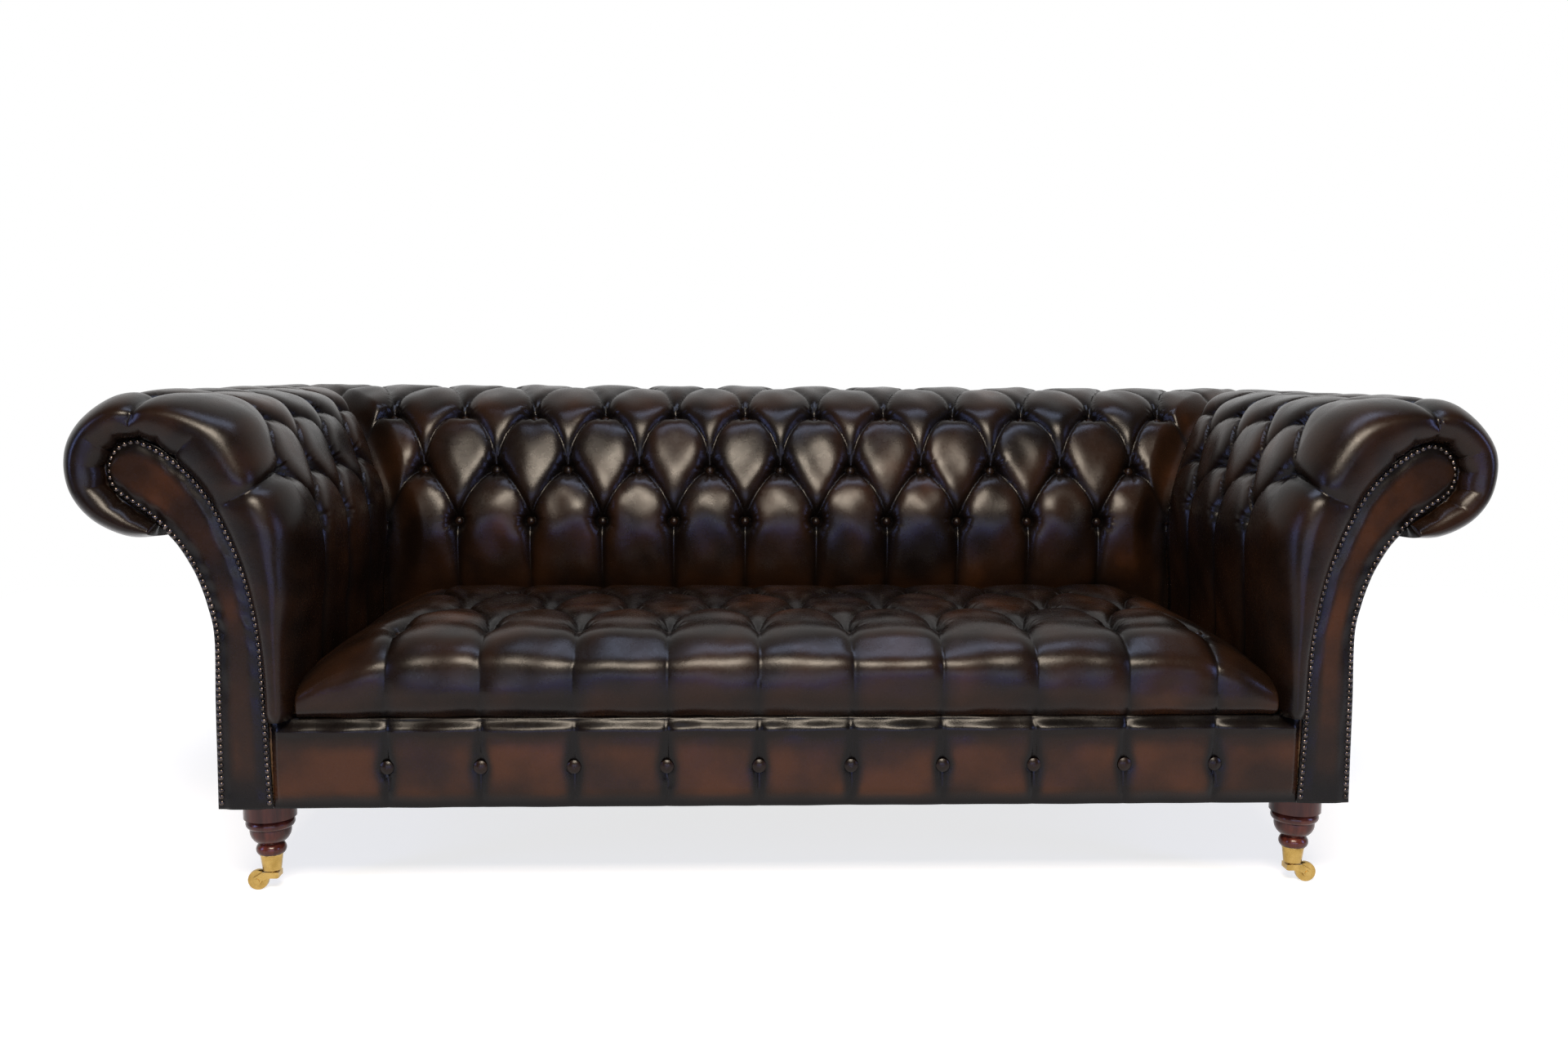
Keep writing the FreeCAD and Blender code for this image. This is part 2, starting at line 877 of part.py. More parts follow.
def border_line(front, waist):
    """Section of the border: from its top edge down its front, with its waist at the buttons."""
    top = (2, n.seat_seam - n.fit_gap)
    foot = (2, n.base_height)
    middle = n.border_button_height
    return closed(
        [top, (front, (top[1] + middle) / 2), (waist, middle), (front, (foot[1] + middle) / 2), foot],
        straight([(n.border_thick, n.base_height), (n.border_thick, top[1])]),
    )


def border_columns():
    return [n.seat_shift + (i - 9) * n.seat_column_step for i in range(19)]


def border_shape():
    """The border: a row of soft panels between pleats."""
    plain = border_line(0, 0)
    sections = [section(plain, seat_point(-n.border_half))]
    for i, x in enumerate(border_columns()):
        swelling = i % 2
        front = -n.border_swell if swelling else 0
        waist = -n.border_swell if swelling else 5
        sections.append(section(border_line(front, waist), seat_point(x)))
    sections.append(section(plain, seat_point(n.border_half)))
    return loft(sections)


def border_button_shapes():
    shape = button_shape(n.border_button_radius)
    ahead = Vector(0, -1, 0)
    pleats = border_columns()[::2]
    spots = [Vector(x, FRONT_Y + 5 - n.fit_gap, n.border_button_height) for x in pleats]
    return Part.Compound([aimed(shape, spot, ahead) for spot in spots])


# The frame.


def rib_outline():
    """Outline of a board inside the roll: a post below and a round head that holds the top rail."""
    height = n.roll_height
    inner = RAIL_IN.value
    outer = RAIL_OUT.value
    head = HEAD_RADIUS.value
    base = n.rail_top
    bend = (inner, height - head * POST_BEND)
    outer_bend = (outer, height - head * OUTER_BEND)
    line = [
        (inner, base),
        blend((inner, base), bend),
        bend,
        neck_place(inner, height),
        on_circle(head, 30, height),
        on_circle(head, 105, height),
        on_circle(head, 180, height),
        on_circle(head, 235, height),
        on_circle(head, 290, height),
        (outer - head * OUTER_NECK_STEP, height - head * OUTER_NECK_DROP),
        outer_bend,
        blend(outer_bend, (outer, base)),
        (outer, base),
    ]
    return line + [blend((outer, base), (inner, base))]


def rib_shape(locate, depth):
    """A rib with the slot that the top rail passes through."""
    half = n.top_rail_width / 2
    low = n.roll_height - half
    face = Part.Face(outline_wire(section(rib_outline(), locate)))
    corners = [(half, low), (half, low + 2 * half), (-half, low + 2 * half), (-half, low)]
    slot = Part.makePolygon(section(corners + corners[:1], locate))
    return face.extrude(depth).cut(Part.Face(slot).extrude(depth))


def make_frame():
    front_rail_y = (RAIL_FRONT, RAIL_FRONT + S.rail_thick)
    rail_z = (S.rail_base, S.rail_top)
    keep(box("front_rail", (-SIDE_OUT, SIDE_OUT), front_rail_y, rail_z), "front_rail")
    keep(box("rear_rail", (-SIDE_OUT, SIDE_OUT), (REAR_IN, REAR_OUT), rail_z), "rear_rail")
    side_y = (front_rail_y[1], REAR_IN)
    keep(box("right_side_rail", (SIDE_IN, SIDE_OUT), side_y, rail_z), "right_side_rail")
    keep(box("left_side_rail", (-SIDE_OUT, -SIDE_IN), side_y, rail_z), "left_side_rail")
    cross_z = (S.rail_base, S.rail_base + S.cross_rail_height)
    half = S.cross_rail_width / 2
    rails = []
    for side in (-1, 1):
        middle = S.rib_half_spread * side
        rails.append(box(f"cross_rail_{side + 2}", (middle - half, middle + half), side_y, cross_z))
    keep(together("seat_cross_rails", rails), "seat_cross_rails")
    blocks = []
    for i, (side, y_range) in enumerate(leg_block_places(side_y)):
        x_range = (SIDE_IN - S.block_length, SIDE_IN) if side > 0 else (-SIDE_IN, S.block_length - SIDE_IN)
        block = box(f"block_{i}", x_range, y_range, cross_z)
        depth = LEG_DEPTHS[i // 2]
        bore = upright(f"block_bore_{i}", S.bolt_radius + 0.1, S.leg_spread * side, depth, cross_z)
        blocks.append(cut(f"bored_block_{i}", block, bore))
    keep(together("corner_blocks", blocks), "corner_blocks")


def leg_block_places(side_y):
    """The side and depth range of each corner block, front ones first."""
    front = (side_y[0], side_y[0] + S.block_length)
    rear = (side_y[1] - S.block_length, side_y[1])
    return [(-1, front), (1, front), (-1, rear), (1, rear)]


def make_ribs():
    across = Vector(n.rib_thick, 0, 0)
    along = Vector(0, n.rib_thick, 0)
    board_y = REAR_IN.value - n.rib_thick
    rear_board = rib_shape(arm_point(board_y), along)
    shaped("arm_rear_boards", Part.Compound([rear_board, mirrored(rear_board)]))
    end_x = SIDE_IN.value - n.rib_thick
    ribs = []
    for x in (-SIDE_IN.value, -n.rib_half_spread - n.rib_thick, n.rib_half_spread, end_x):
        ribs.append(rib_shape(back_point(x), across))
    shaped("back_ribs", Part.Compound(ribs))
    half = S.top_rail_width / 2 - 0.2
    heights = (S.roll_height - half, S.roll_height + half)
    arm_x = (S.roll_spread - half, S.roll_spread + half)
    arm_y = (BOARD_BACK, BACK_ROLL + half)
    right = box("top_rail_right", arm_x, arm_y, heights)
    left = box("top_rail_left", (-arm_x[1], -arm_x[0]), arm_y, heights)
    keep(together("arm_top_rails", [left, right]), "arm_top_rails")
    back_y = (BACK_ROLL - half, BACK_ROLL + half)
    keep(box("back_top_rail", (-arm_x[0], arm_x[0]), back_y, heights), "back_top_rail")
    tack_z = (S.pad_base + 6, S.pad_base + 6 + S.tack_rail_height)
    arm_tack_y = (BOARD_BACK, REAR_IN - S.rib_thick)
    tack_right = box("tack_rail_right", (SIDE_IN, SIDE_OUT), arm_tack_y, tack_z)
    tack_left = box("tack_rail_left", (-SIDE_OUT, -SIDE_IN), arm_tack_y, tack_z)
    keep(together("arm_tack_rails", [tack_left, tack_right]), "arm_tack_rails")
    inner_rib = S.rib_half_spread
    outer_rib = SIDE_IN - S.rib_thick
    tack_y = (REAR_IN, REAR_OUT)
    spans = [
        (-outer_rib, -inner_rib - S.rib_thick),
        (-inner_rib, inner_rib),
        (inner_rib + S.rib_thick, outer_rib),
    ]
    rails = [box(f"back_tack_rail_{i}", span, tack_y, tack_z) for i, span in enumerate(spans)]
    keep(together("back_tack_rails", rails), "back_tack_rails")


def make_webbing():
    """Straps across the ribs of the back and along the arms."""
    back = []
    arms = []
    step = S.webbing_width * 1.6
    strap_y = (REAR_IN - S.webbing_thick, REAR_IN)
    arm_y = (BOARD_BACK, REAR_IN - S.rib_thick)
    strap_x = (SIDE_IN - S.webbing_thick, SIDE_IN)
    for i in range(2):
        low = S.pad_base + 2 + step * i
        heights = (low, low + S.webbing_width)
        reach = SIDE_IN - S.rib_thick
        back.append(box(f"back_strap_{i}", (-reach, reach), strap_y, heights))
        arms.append(box(f"right_strap_{i}", strap_x, arm_y, heights))
        arms.append(box(f"left_strap_{i}", (-strap_x[1], -strap_x[0]), arm_y, heights))
    keep(together("back_webbing", back), "back_webbing")
    keep(together("arm_webbing", arms), "arm_webbing")


# Springs and what lies over and under them.


def spring_route():
    """The bent wire of one spring, flat, from the front rail to the rear rail."""
    start = RAIL_FRONT.value + 6
    finish = REAR_OUT.value - 6
    pitch = 2 * n.spring_turn
    count = int((finish - start) / pitch)
    pitch = (finish - start) / count
    turn = pitch / 2
    bar = n.spring_bar
    edges = []
    for i in range(count + 1):
        y = start + i * pitch
        side = 1 if i % 2 == 0 else -1
        edges.append(Part.LineSegment(Vector(-side * bar, y, 0), Vector(side * bar, y, 0)).toShape())
        if i < count:
            middle = Vector(side * (bar + turn), y + turn, 0)
            end = Vector(side * bar, y + pitch, 0)
            edges.append(Part.Arc(Vector(side * bar, y, 0), middle, end).toShape())
    return Part.Wire(edges)


def spring_shape():
    route = spring_route()
    start = route.Edges[0].Vertexes[0].Point
    ring = Part.Wire(Part.makeCircle(n.spring_wire, start, Vector(1, 0, 0)))
    return route.makePipeShell([ring], True, False)


def spring_places():
    return [i * n.spring_spacing for i in range(-4, 5)]


def make_springs():
    height = n.rail_top + n.clip_thick + n.spring_wire + 0.05
    spring = spring_shape()
    copies = []
    for x in spring_places():
        copy = spring.copy()
        copy.translate(Vector(x, 0, height))
        copies.append(copy)
    shaped("seat_springs", Part.Compound(copies))
    clips = []
    for i, x in enumerate(spring_places()):
        for j, low in enumerate((RAIL_FRONT + 2, REAR_OUT - 2 - S.clip_width)):
            x_range = (S.clip_width / -2 + x, S.clip_width / 2 + x)
            heights = (S.rail_top, S.rail_top + S.clip_thick)
            clips.append(box(f"clip_{i}_{j}", x_range, (low, low + S.clip_width), heights))
    keep(together("spring_clips", clips), "spring_clips")
    reach = SIDE_IN - S.webbing_thick - S.fit_gap
    hessian_z = (HESSIAN_BASE, HESSIAN_BASE + S.hessian_thick)
    hessian_y = (RAIL_FRONT + 2, REAR_IN - S.webbing_thick - S.fit_gap)
    keep(box("seat_hessian", (-reach, reach), hessian_y, hessian_z), "seat_hessian")


def make_dust_cover():
    heights = (S.rail_base - S.dust_cover_thick, S.rail_base)
    cloth = box("cloth", (-SIDE_OUT, SIDE_OUT), (RAIL_FRONT, REAR_OUT), heights)
    holes = []
    for i, depth in enumerate(LEG_DEPTHS):
        for side in (-1, 1):
            radius = S.plinth_radius + 1
            holes.append(upright(f"leg_hole_{i}_{side + 1}", radius, S.leg_spread * side, depth, heights))
    keep(cut("dust_cover", cloth, together("leg_holes", holes)), "dust_cover")


# Legs and castors.

LEG_DEPTHS = (FRONT + S.front_leg_depth, FRONT + S.rear_leg_depth)


def attach(body, sketch, role, lift=0.0):
    """Puts a sketch on one of its body's own planes."""
    planes = {feature.Role: feature for feature in body.Origin.OriginFeatures}
    sketch.AttachmentSupport = (planes[role], [""])
    sketch.MapMode = "FlatFace"
    sketch.AttachmentOffset = FreeCAD.Placement(Vector(0, 0, lift), FreeCAD.Rotation())


def bulging_arc(start, end, radius):
    """The arc between two points of a profile that bulges away from the axis."""
    chord = end - start
    middle = (start + end) / 2
    away = Vector(chord.y, -chord.x, 0).normalize()
    rise = radius - math.sqrt(radius**2 - (chord.Length / 2) ** 2)
    return Part.Arc(start, middle + away * rise, end)


def draw_profile(sketch, corners):
    """A closed profile whose corners are bound to sheet expressions.

    Each corner is its distance from the axis, its height and, where the edge that follows is an arc, the
    arc's radius.
    """
    points = [Vector(r.value, z.value, 0) for r, z, bow in corners]
    count = len(points)
    for i, (r, z, bow) in enumerate(corners):
        ahead = points[(i + 1) % count]
        if bow is None:
            sketch.addGeometry(Part.LineSegment(points[i], ahead), False)
        else:
            sketch.addGeometry(bulging_arc(points[i], ahead, bow.value), False)
    starts = [2 if is_reversed(sketch.Geometry[i], points[i]) else 1 for i in range(count)]
    for i in range(count):
        ahead = (i + 1) % count
        sketch.addConstraint(Sketcher.Constraint("Coincident", i, 3 - starts[i], ahead, starts[ahead]))
    for i, (r, z, bow) in enumerate(corners):
        bind_distance(sketch, "DistanceX", i, starts[i], r)
        bind_distance(sketch, "DistanceY", i, starts[i], z)
        if bow is not None:
            row = sketch.addConstraint(Sketcher.Constraint("Radius", i, bow.value))
            sketch.setExpression(f"Constraints[{row}]", bow.text)


def is_reversed(curve, start):
    """Whether a sketch edge runs towards the corner that it is meant to leave."""
    return curve.StartPoint.distanceToPoint(start) > curve.EndPoint.distanceToPoint(start)


def bind_distance(sketch, kind, edge_number, end, size):
    row = sketch.addConstraint(Sketcher.Constraint(kind, -1, 1, edge_number, end, size.value))
    sketch.setExpression(f"Constraints[{row}]", size.text)


def turned_body(name, corners, label=None):
    """A body turned about its own Z axis."""
    body = document.addObject("PartDesign::Body", name)
    sketch = body.newObject("Sketcher::SketchObject", f"{name}_profile")
    attach(body, sketch, "XZ_Plane")
    draw_profile(sketch, corners)
    turn = body.newObject("PartDesign::Revolution", f"{name}_turn")
    turn.Profile = sketch
    turn.ReferenceAxis = (sketch, ["V_Axis"])
    turn.Angle = 360
    body.Tip = turn
    if label:
        keep(body, label)
    return body


def leg_corners():
    """Turned leg from the tenon in the castor's socket up to the plinth under the frame."""
    zero = as_size(0)
    bore_foot = LEG_TOP - S.bolt_grip
    bore = S.bolt_radius + 0.1
    return [
        (zero, S.tenon_base, None),
        (S.tenon_tip_radius, S.tenon_base, None),
        (S.tenon_radius, S.cup_top, None),
        (S.ring_radius, S.cup_top, S.ring_bow),
        (S.ring_radius, S.ring_top, None),
        (S.neck_radius, S.neck_top, S.bulb_bow),
        (S.bulb_radius, S.bulb_top, None),
        (S.bead_radius, S.bulb_top + 1, S.bead_bow),
        (S.bead_radius, S.bead_top, None),
        (S.plinth_radius, S.plinth_base, None),
        (S.plinth_radius, LEG_TOP, None),
        (bore, LEG_TOP, None),
        (bore, bore_foot, None),
        (zero, bore_foot, None),
    ]


def cup_corners():
    """Brass socket round the tenon, with a bead at its top and a floor that the pin goes through."""
    gap = S.running_gap
    inner_top = S.tenon_radius + gap
    inner_tip = S.tenon_tip_radius + gap
    bore = S.pin_radius + gap
    rim = S.cup_top - 0.1
    return [
        (bore, S.cup_base, None),
        (inner_tip + S.cup_wall, S.cup_base, None),
        (inner_top + S.cup_wall, rim - S.cup_bead, S.cup_bead / 1.9),
        (inner_top + S.cup_wall, rim, None),
        (inner_top, rim, None),
        (inner_tip, S.tenon_base - 0.1, None),
        (bore, S.tenon_base - 0.1, None),
    ]


def pin_corners():
    """Swivel pin riveted in the socket's floor, with a collar above the horn and a head below it."""
    zero = as_size(0)
    gap = S.running_gap
    return [
        (zero, S.horn_base - 2, None),
        (S.pin_radius + 1.6, S.horn_base - 2, None),
        (S.pin_radius + 1.6, S.horn_base - gap, None),
        (S.pin_radius, S.horn_base - gap, None),
        (S.pin_radius, S.horn_top + gap, None),
        (S.collar_radius, S.horn_top + gap, None),
        (S.collar_radius, S.cup_base - gap, None),
        (S.pin_radius, S.cup_base - gap, None),
        (S.pin_radius, S.tenon_base - 0.2, None),
        (zero, S.tenon_base - 0.2, None),
    ]


def wheel_corners():
    """Brass wheel with a crowned tread, lying on its side."""
    bore = S.axle_radius + S.running_gap
    zero = as_size(0)
    edge_radius = S.wheel_radius - S.wheel_crown
    bow = (S.wheel_width * S.wheel_width / 4 + S.wheel_crown * S.wheel_crown) / (S.wheel_crown * 2)
    return [
        (bore, zero, None),
        (edge_radius, zero, bow),
        (edge_radius, S.wheel_width, None),
        (bore, S.wheel_width, None),
    ]


def axle_corners():
    zero = as_size(0)
    length = S.horn_width + S.axle_head_thick * 2
    return [
        (zero, zero, None),
        (S.axle_head, zero, None),
        (S.axle_head, S.axle_head_thick, None),
        (S.axle_radius, S.axle_head_thick, None),
        (S.axle_radius, length - S.axle_head_thick, None),
        (S.axle_head, length - S.axle_head_thick, None),
        (S.axle_head, length, None),
        (zero, length, None),
    ]


def draw_circle(sketch, centre, radius):
    """A circle whose place and size are bound to sheet expressions."""
    x, y = centre
    circle = Part.Circle(Vector(x.value, y.value, 0), Vector(0, 0, 1), radius.value)
    number = sketch.addGeometry(circle, False)
    bind_distance(sketch, "DistanceX", number, 3, x)
    bind_distance(sketch, "DistanceY", number, 3, y)
    row = sketch.addConstraint(Sketcher.Constraint("Radius", number, radius.value))
    sketch.setExpression(f"Constraints[{row}]", radius.text)


def pocket_round(body, name, role, centre, radius, lift, length):
    """Cuts a round hole through a body, along the chosen plane's normal."""
    sketch = body.newObject("Sketcher::SketchObject", f"{name}_circle")
    attach(body, sketch, role)
    sketch.setExpression("AttachmentOffset.Base.z", lift.text)
    draw_circle(sketch, centre, radius)
    pocket = body.newObject("PartDesign::Pocket", name)
    pocket.Profile = sketch
    pocket.setExpression("Length", length.text)
    body.Tip = pocket


def horn_body(name):
    """Castor horn: two cheeks that carry the wheel, joined by a head that turns on the pin.

    Its own origin is on the floor under the pin, and it trails along its own X axis.
    """
    body = document.addObject("PartDesign::Body", name)
    sketch = body.newObject("Sketcher::SketchObject", f"{name}_side")
    attach(body, sketch, "XZ_Plane")
    sketch.setExpression("AttachmentOffset.Base.z", (-S.horn_width / 2).text)
    eye = S.eye_radius
    corners = [
        (-S.horn_radius, S.horn_base + 1, None),
        (-S.horn_radius + 3, S.horn_base, None),
        (S.collar_radius, S.horn_base, None),
        (S.trail - eye, S.wheel_radius, None),
        (S.trail - eye * 0.5, S.wheel_radius - eye * 0.85, None),
        (S.trail + eye * 0.5, S.wheel_radius - eye * 0.85, None),
        (S.trail + eye, S.wheel_radius, None),
        (S.trail + eye * 0.9, S.wheel_radius + eye * 0.6, None),
        (S.horn_radius, S.horn_top, None),
        (-S.horn_radius, S.horn_top, None),
    ]
    draw_profile(sketch, corners)
    pad = body.newObject("PartDesign::Pad", f"{name}_pad")
    pad.Profile = sketch
    pad.setExpression("Length", S.horn_width.text)
    body.Tip = pad
    axle = (S.trail, S.wheel_radius)
    pocket_round(body, f"{name}_slot", "XZ_Plane", axle, S.slot_radius, S.wheel_slot / 2, S.wheel_slot)
    bore = S.axle_radius + S.running_gap / 2
    through = S.horn_width + 4
    pocket_round(body, f"{name}_eye", "XZ_Plane", axle, bore, through / 2, through)
    hub = (as_size(0), as_size(0))
    pin_bore = S.pin_radius + S.running_gap
    pocket_round(body, f"{name}_bore", "XY_Plane", hub, pin_bore, S.horn_top + 5, S.horn_top + 5)
    return body


CORNERS = (
    ("front_left", -1, 0, 180),
    ("front_right", 1, 0, 0),
    ("rear_left", -1, 1, 90),
    ("rear_right", 1, 1, 90),
)


def lay_across(body, x, y, z, turn, offset):
    """Lays a turned body so that its axis is level and square to the way the castor trails."""
    angle = math.radians(turn)
    axis = Vector(-math.sin(angle), math.cos(angle), 0)
    body.Placement = FreeCAD.Placement(Vector(), FreeCAD.Rotation(Vector(0, 0, 1), axis))
    body.setExpression("Placement.Base.x", (x - offset * round(axis.x)).text)
    body.setExpression("Placement.Base.y", (y - offset * round(axis.y)).text)
    body.setExpression("Placement.Base.z", z.text)


def make_legs():
    bolts = []
    cups = []
    pins = []
    zero = as_size(0)
    for name, side, row, turn in CORNERS:
        x = S.leg_spread * side
        y = LEG_DEPTHS[row]
        place(turned_body(f"leg_{name}", leg_corners(), f"{name}_leg"), x, y, zero)
        bolts.append(upright(f"bolt_{name}", S.bolt_radius, x, y, bolt_range()))
        nut_z = (S.rail_base + S.cross_rail_height, S.rail_base + S.cross_rail_height + S.nut_height)
        nut = upright(f"nut_{name}", S.nut_radius, x, y, nut_z)
        bore = upright(f"nut_bore_{name}", S.bolt_radius + 0.1, x, y, nut_z)
        bolts.append(cut(f"bored_nut_{name}", nut, bore))
        cups.append(place(turned_body(f"cup_{name}", cup_corners()), x, y, zero))
        pins.append(place(turned_body(f"pin_{name}", pin_corners()), x, y, zero))
        angle = math.radians(turn)
        ahead_x = round(math.cos(angle))
        ahead_y = round(math.sin(angle))
        horn = keep(horn_body(f"horn_{name}"), f"{name}_castor_horn")
        place(horn, x, y, zero, turn)
        hub_x = x + S.trail * ahead_x
        hub_y = y + S.trail * ahead_y
        wheel = turned_body(f"wheel_{name}", wheel_corners(), f"{name}_castor_wheel")
        lay_across(wheel, hub_x, hub_y, S.wheel_radius, turn, S.wheel_width / 2)
        axle = turned_body(f"axle_{name}", axle_corners(), f"{name}_castor_axle")
        lay_across(axle, hub_x, hub_y, S.wheel_radius, turn, S.horn_width / 2 + S.axle_head_thick)
    keep(together("leg_bolts", bolts), "leg_bolts")
    keep(together("castor_sockets", cups), "castor_sockets")
    keep(together("castor_swivel_pins", pins), "castor_swivel_pins")


def bolt_range():
    """Height range of a leg's bolt, from the foot of its bore to just past its nut."""
    top = S.rail_base + S.cross_rail_height + S.nut_height + 2
    return (LEG_TOP - S.bolt_grip + 0.2, top)


def make_upholstery():
    pair("arm_cover", arm_cover_shape())
    pair("arm_foam", arm_foam_shape())
    shaped("back_cover", back_cover_shape())
    shaped("back_foam", back_foam_shape())
    shaped("seat_cover", seat_cover_shape())
    seat_half = S.roll_spread - SEAT_EDGE
    foam_y = (FRONT + S.lip_padding, BACK_ROLL - SEAT_EDGE)
    foam_z = (HESSIAN_BASE + S.hessian_thick, SEAT_FOAM_TOP)
    keep(box("seat_foam", (-seat_half, seat_half), foam_y, foam_z), "seat_foam")
    shaped("front_border", border_shape())
    backing_y = (FRONT + S.border_thick, BOARD_BACK)
    heights = (S.base_height, S.seat_seam - S.fit_gap)
    keep(box("border_backing", (-S.border_half, S.border_half), backing_y, heights), "border_backing")
    leather = outside_section()
    last = FRONT_Y + arm_columns()[-1][0]
    arm_stations = (arm_point(BOARD_BACK.value), arm_point(last), arm_mitre)
    pair("outside_arm", loft([section(leather, locate) for locate in arm_stations]))
    shaped("outside_back", loft([section(leather, locate) for locate in back_stations()]))


def make_facings():
    holes = nails_on_facing(n.nail_shank + 0.05, n.nail_length + 0.2)
    board = plate(facing_shape(n.board_inset), BOARD_FRONT.value, n.board_thick)
    pair("arm_facing", plate(facing_shape(), FRONT_Y, n.facing_thick).cut(holes))
    pair("arm_front_board", board.cut(holes))
    nails = nails_on_facing(n.nail_shank, n.nail_length)
    shaped("facing_nails", Part.Compound([nails, mirrored(nails)]))


def make_buttons():
    shaped("seat_buttons", seat_button_shapes())
    shaped("border_buttons", border_button_shapes())
    shaped("back_buttons", back_button_shapes())
    shaped("arm_buttons", arm_button_shapes())


def check_and_write():
    """Stops on any failed object, then writes each sub-part to a file of its own."""
    document.recompute()
    for item in document.Objects:
        if {"Invalid", "Error"} & set(item.State):
            raise RuntimeError(f"{item.Name} failed: {item.State}")
    for item in sub_parts:
        if item.Shape.isNull() or not item.Shape.isValid() or not item.Shape.Solids:
            raise RuntimeError(f"{item.Label} has no valid solid")
    os.makedirs("parts", exist_ok=True)
    for item in sub_parts:
        item.Shape.exportStep(f"parts/{item.Label}.step")
    print(f"{len(sub_parts)} sub-parts written")


make_frame()
make_ribs()
make_webbing()
make_springs()
make_dust_cover()
make_upholstery()
make_facings()
make_buttons()
make_legs()
check_and_write()
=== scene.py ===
import math

import bmesh
import bpy
import numpy as np
from mathutils import Matrix, Vector


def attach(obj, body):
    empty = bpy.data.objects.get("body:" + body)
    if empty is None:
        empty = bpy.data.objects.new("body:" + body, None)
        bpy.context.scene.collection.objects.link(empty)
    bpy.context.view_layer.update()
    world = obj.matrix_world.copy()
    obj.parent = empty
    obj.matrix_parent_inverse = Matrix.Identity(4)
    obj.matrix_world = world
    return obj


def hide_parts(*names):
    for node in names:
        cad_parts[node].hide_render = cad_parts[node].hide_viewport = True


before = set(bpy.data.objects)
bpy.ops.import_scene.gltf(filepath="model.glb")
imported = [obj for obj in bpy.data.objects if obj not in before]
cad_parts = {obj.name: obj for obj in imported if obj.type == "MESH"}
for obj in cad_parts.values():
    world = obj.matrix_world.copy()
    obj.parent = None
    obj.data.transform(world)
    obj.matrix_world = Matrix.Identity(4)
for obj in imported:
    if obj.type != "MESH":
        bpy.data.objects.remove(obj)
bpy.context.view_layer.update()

# Chesterfield sofa. The leather pieces are worked out in millimetres and scaled to metres at the end.
#
# A buttoned pad is a sheet with two directions: u runs across the rows of buttons, from the seat up and
# round the roll, and t runs along a row. Each place of the sheet has a level: 0 at a button, 1 on top of a
# cell. Two curves across the pad, one through the pits and one over the cells, turn levels into places.

MM = 0.001
ROOT = "sofa"
SPREAD = 985.0  # middle to the centre line of an arm's roll
FRONT = -443.5  # fronts of the facings
DEPTH = 805.0  # fronts of the facings to the centre line of the back's roll
ROLL_Y = FRONT + DEPTH
MITRE_GAP = 0.3  # each pad stops this far short of the seam in its corner
PANEL_GAP = 0.2  # and each outside panel this far


# Curves and sheets.


def smooth_curve(knots, points, at):
    """Places at the given parameters on a smooth curve through points."""
    knots = np.asarray(knots, float)
    points = np.asarray(points, float)
    slopes = np.gradient(points, knots, axis=0)
    i = np.clip(np.searchsorted(knots, at, side="right") - 1, 0, len(knots) - 2)
    span = (knots[i + 1] - knots[i])[:, None]
    x = (np.asarray(at) - knots[i])[:, None] / span
    start = points[i] * (1 + 2 * x) * (1 - x) ** 2 + points[i + 1] * x * x * (3 - 2 * x)
    return start + span * (slopes[i] * x * (1 - x) ** 2 + slopes[i + 1] * x * x * (x - 1))


def chords(points):
    """Distance along a line of points, from its start."""
    steps = np.linalg.norm(np.diff(np.asarray(points, float), axis=0), axis=1)
    return np.concatenate([[0.0], np.cumsum(steps)])


def soft_step(x):
    x = np.clip(x, 0, 1)
    return x * x * (3 - 2 * x)


def stations(stops, steps):
    """Parameters from the first stop to the last, with about the given step between each two stops."""
    found = [np.array([stops[0]])]
    for low, high, step in zip(stops, stops[1:], steps):
        count = max(int(round((high - low) / step)), 1)
        found.append(np.linspace(low, high, count + 1)[1:])
    return np.concatenate(found)


def ripples(u, t, seed, lengths):
    """Gentle waves over a sheet, between about -1 and 1."""
    rng = np.random.default_rng(seed)
    count = 7
    total = np.zeros(np.broadcast(u, t).shape)
    for _ in range(count):
        angle = rng.uniform(0, math.pi)
        wave = 2 * math.pi / rng.uniform(*lengths)
        total += np.sin(wave * (u * math.cos(angle) + t * math.sin(angle)) + rng.uniform(0, 6.28))
    return total / math.sqrt(count * 2)


def linked(name, mesh):
    """An object with the given mesh, put into the scene."""
    piece = bpy.data.objects.new(name, mesh)
    bpy.context.collection.objects.link(piece)
    return piece


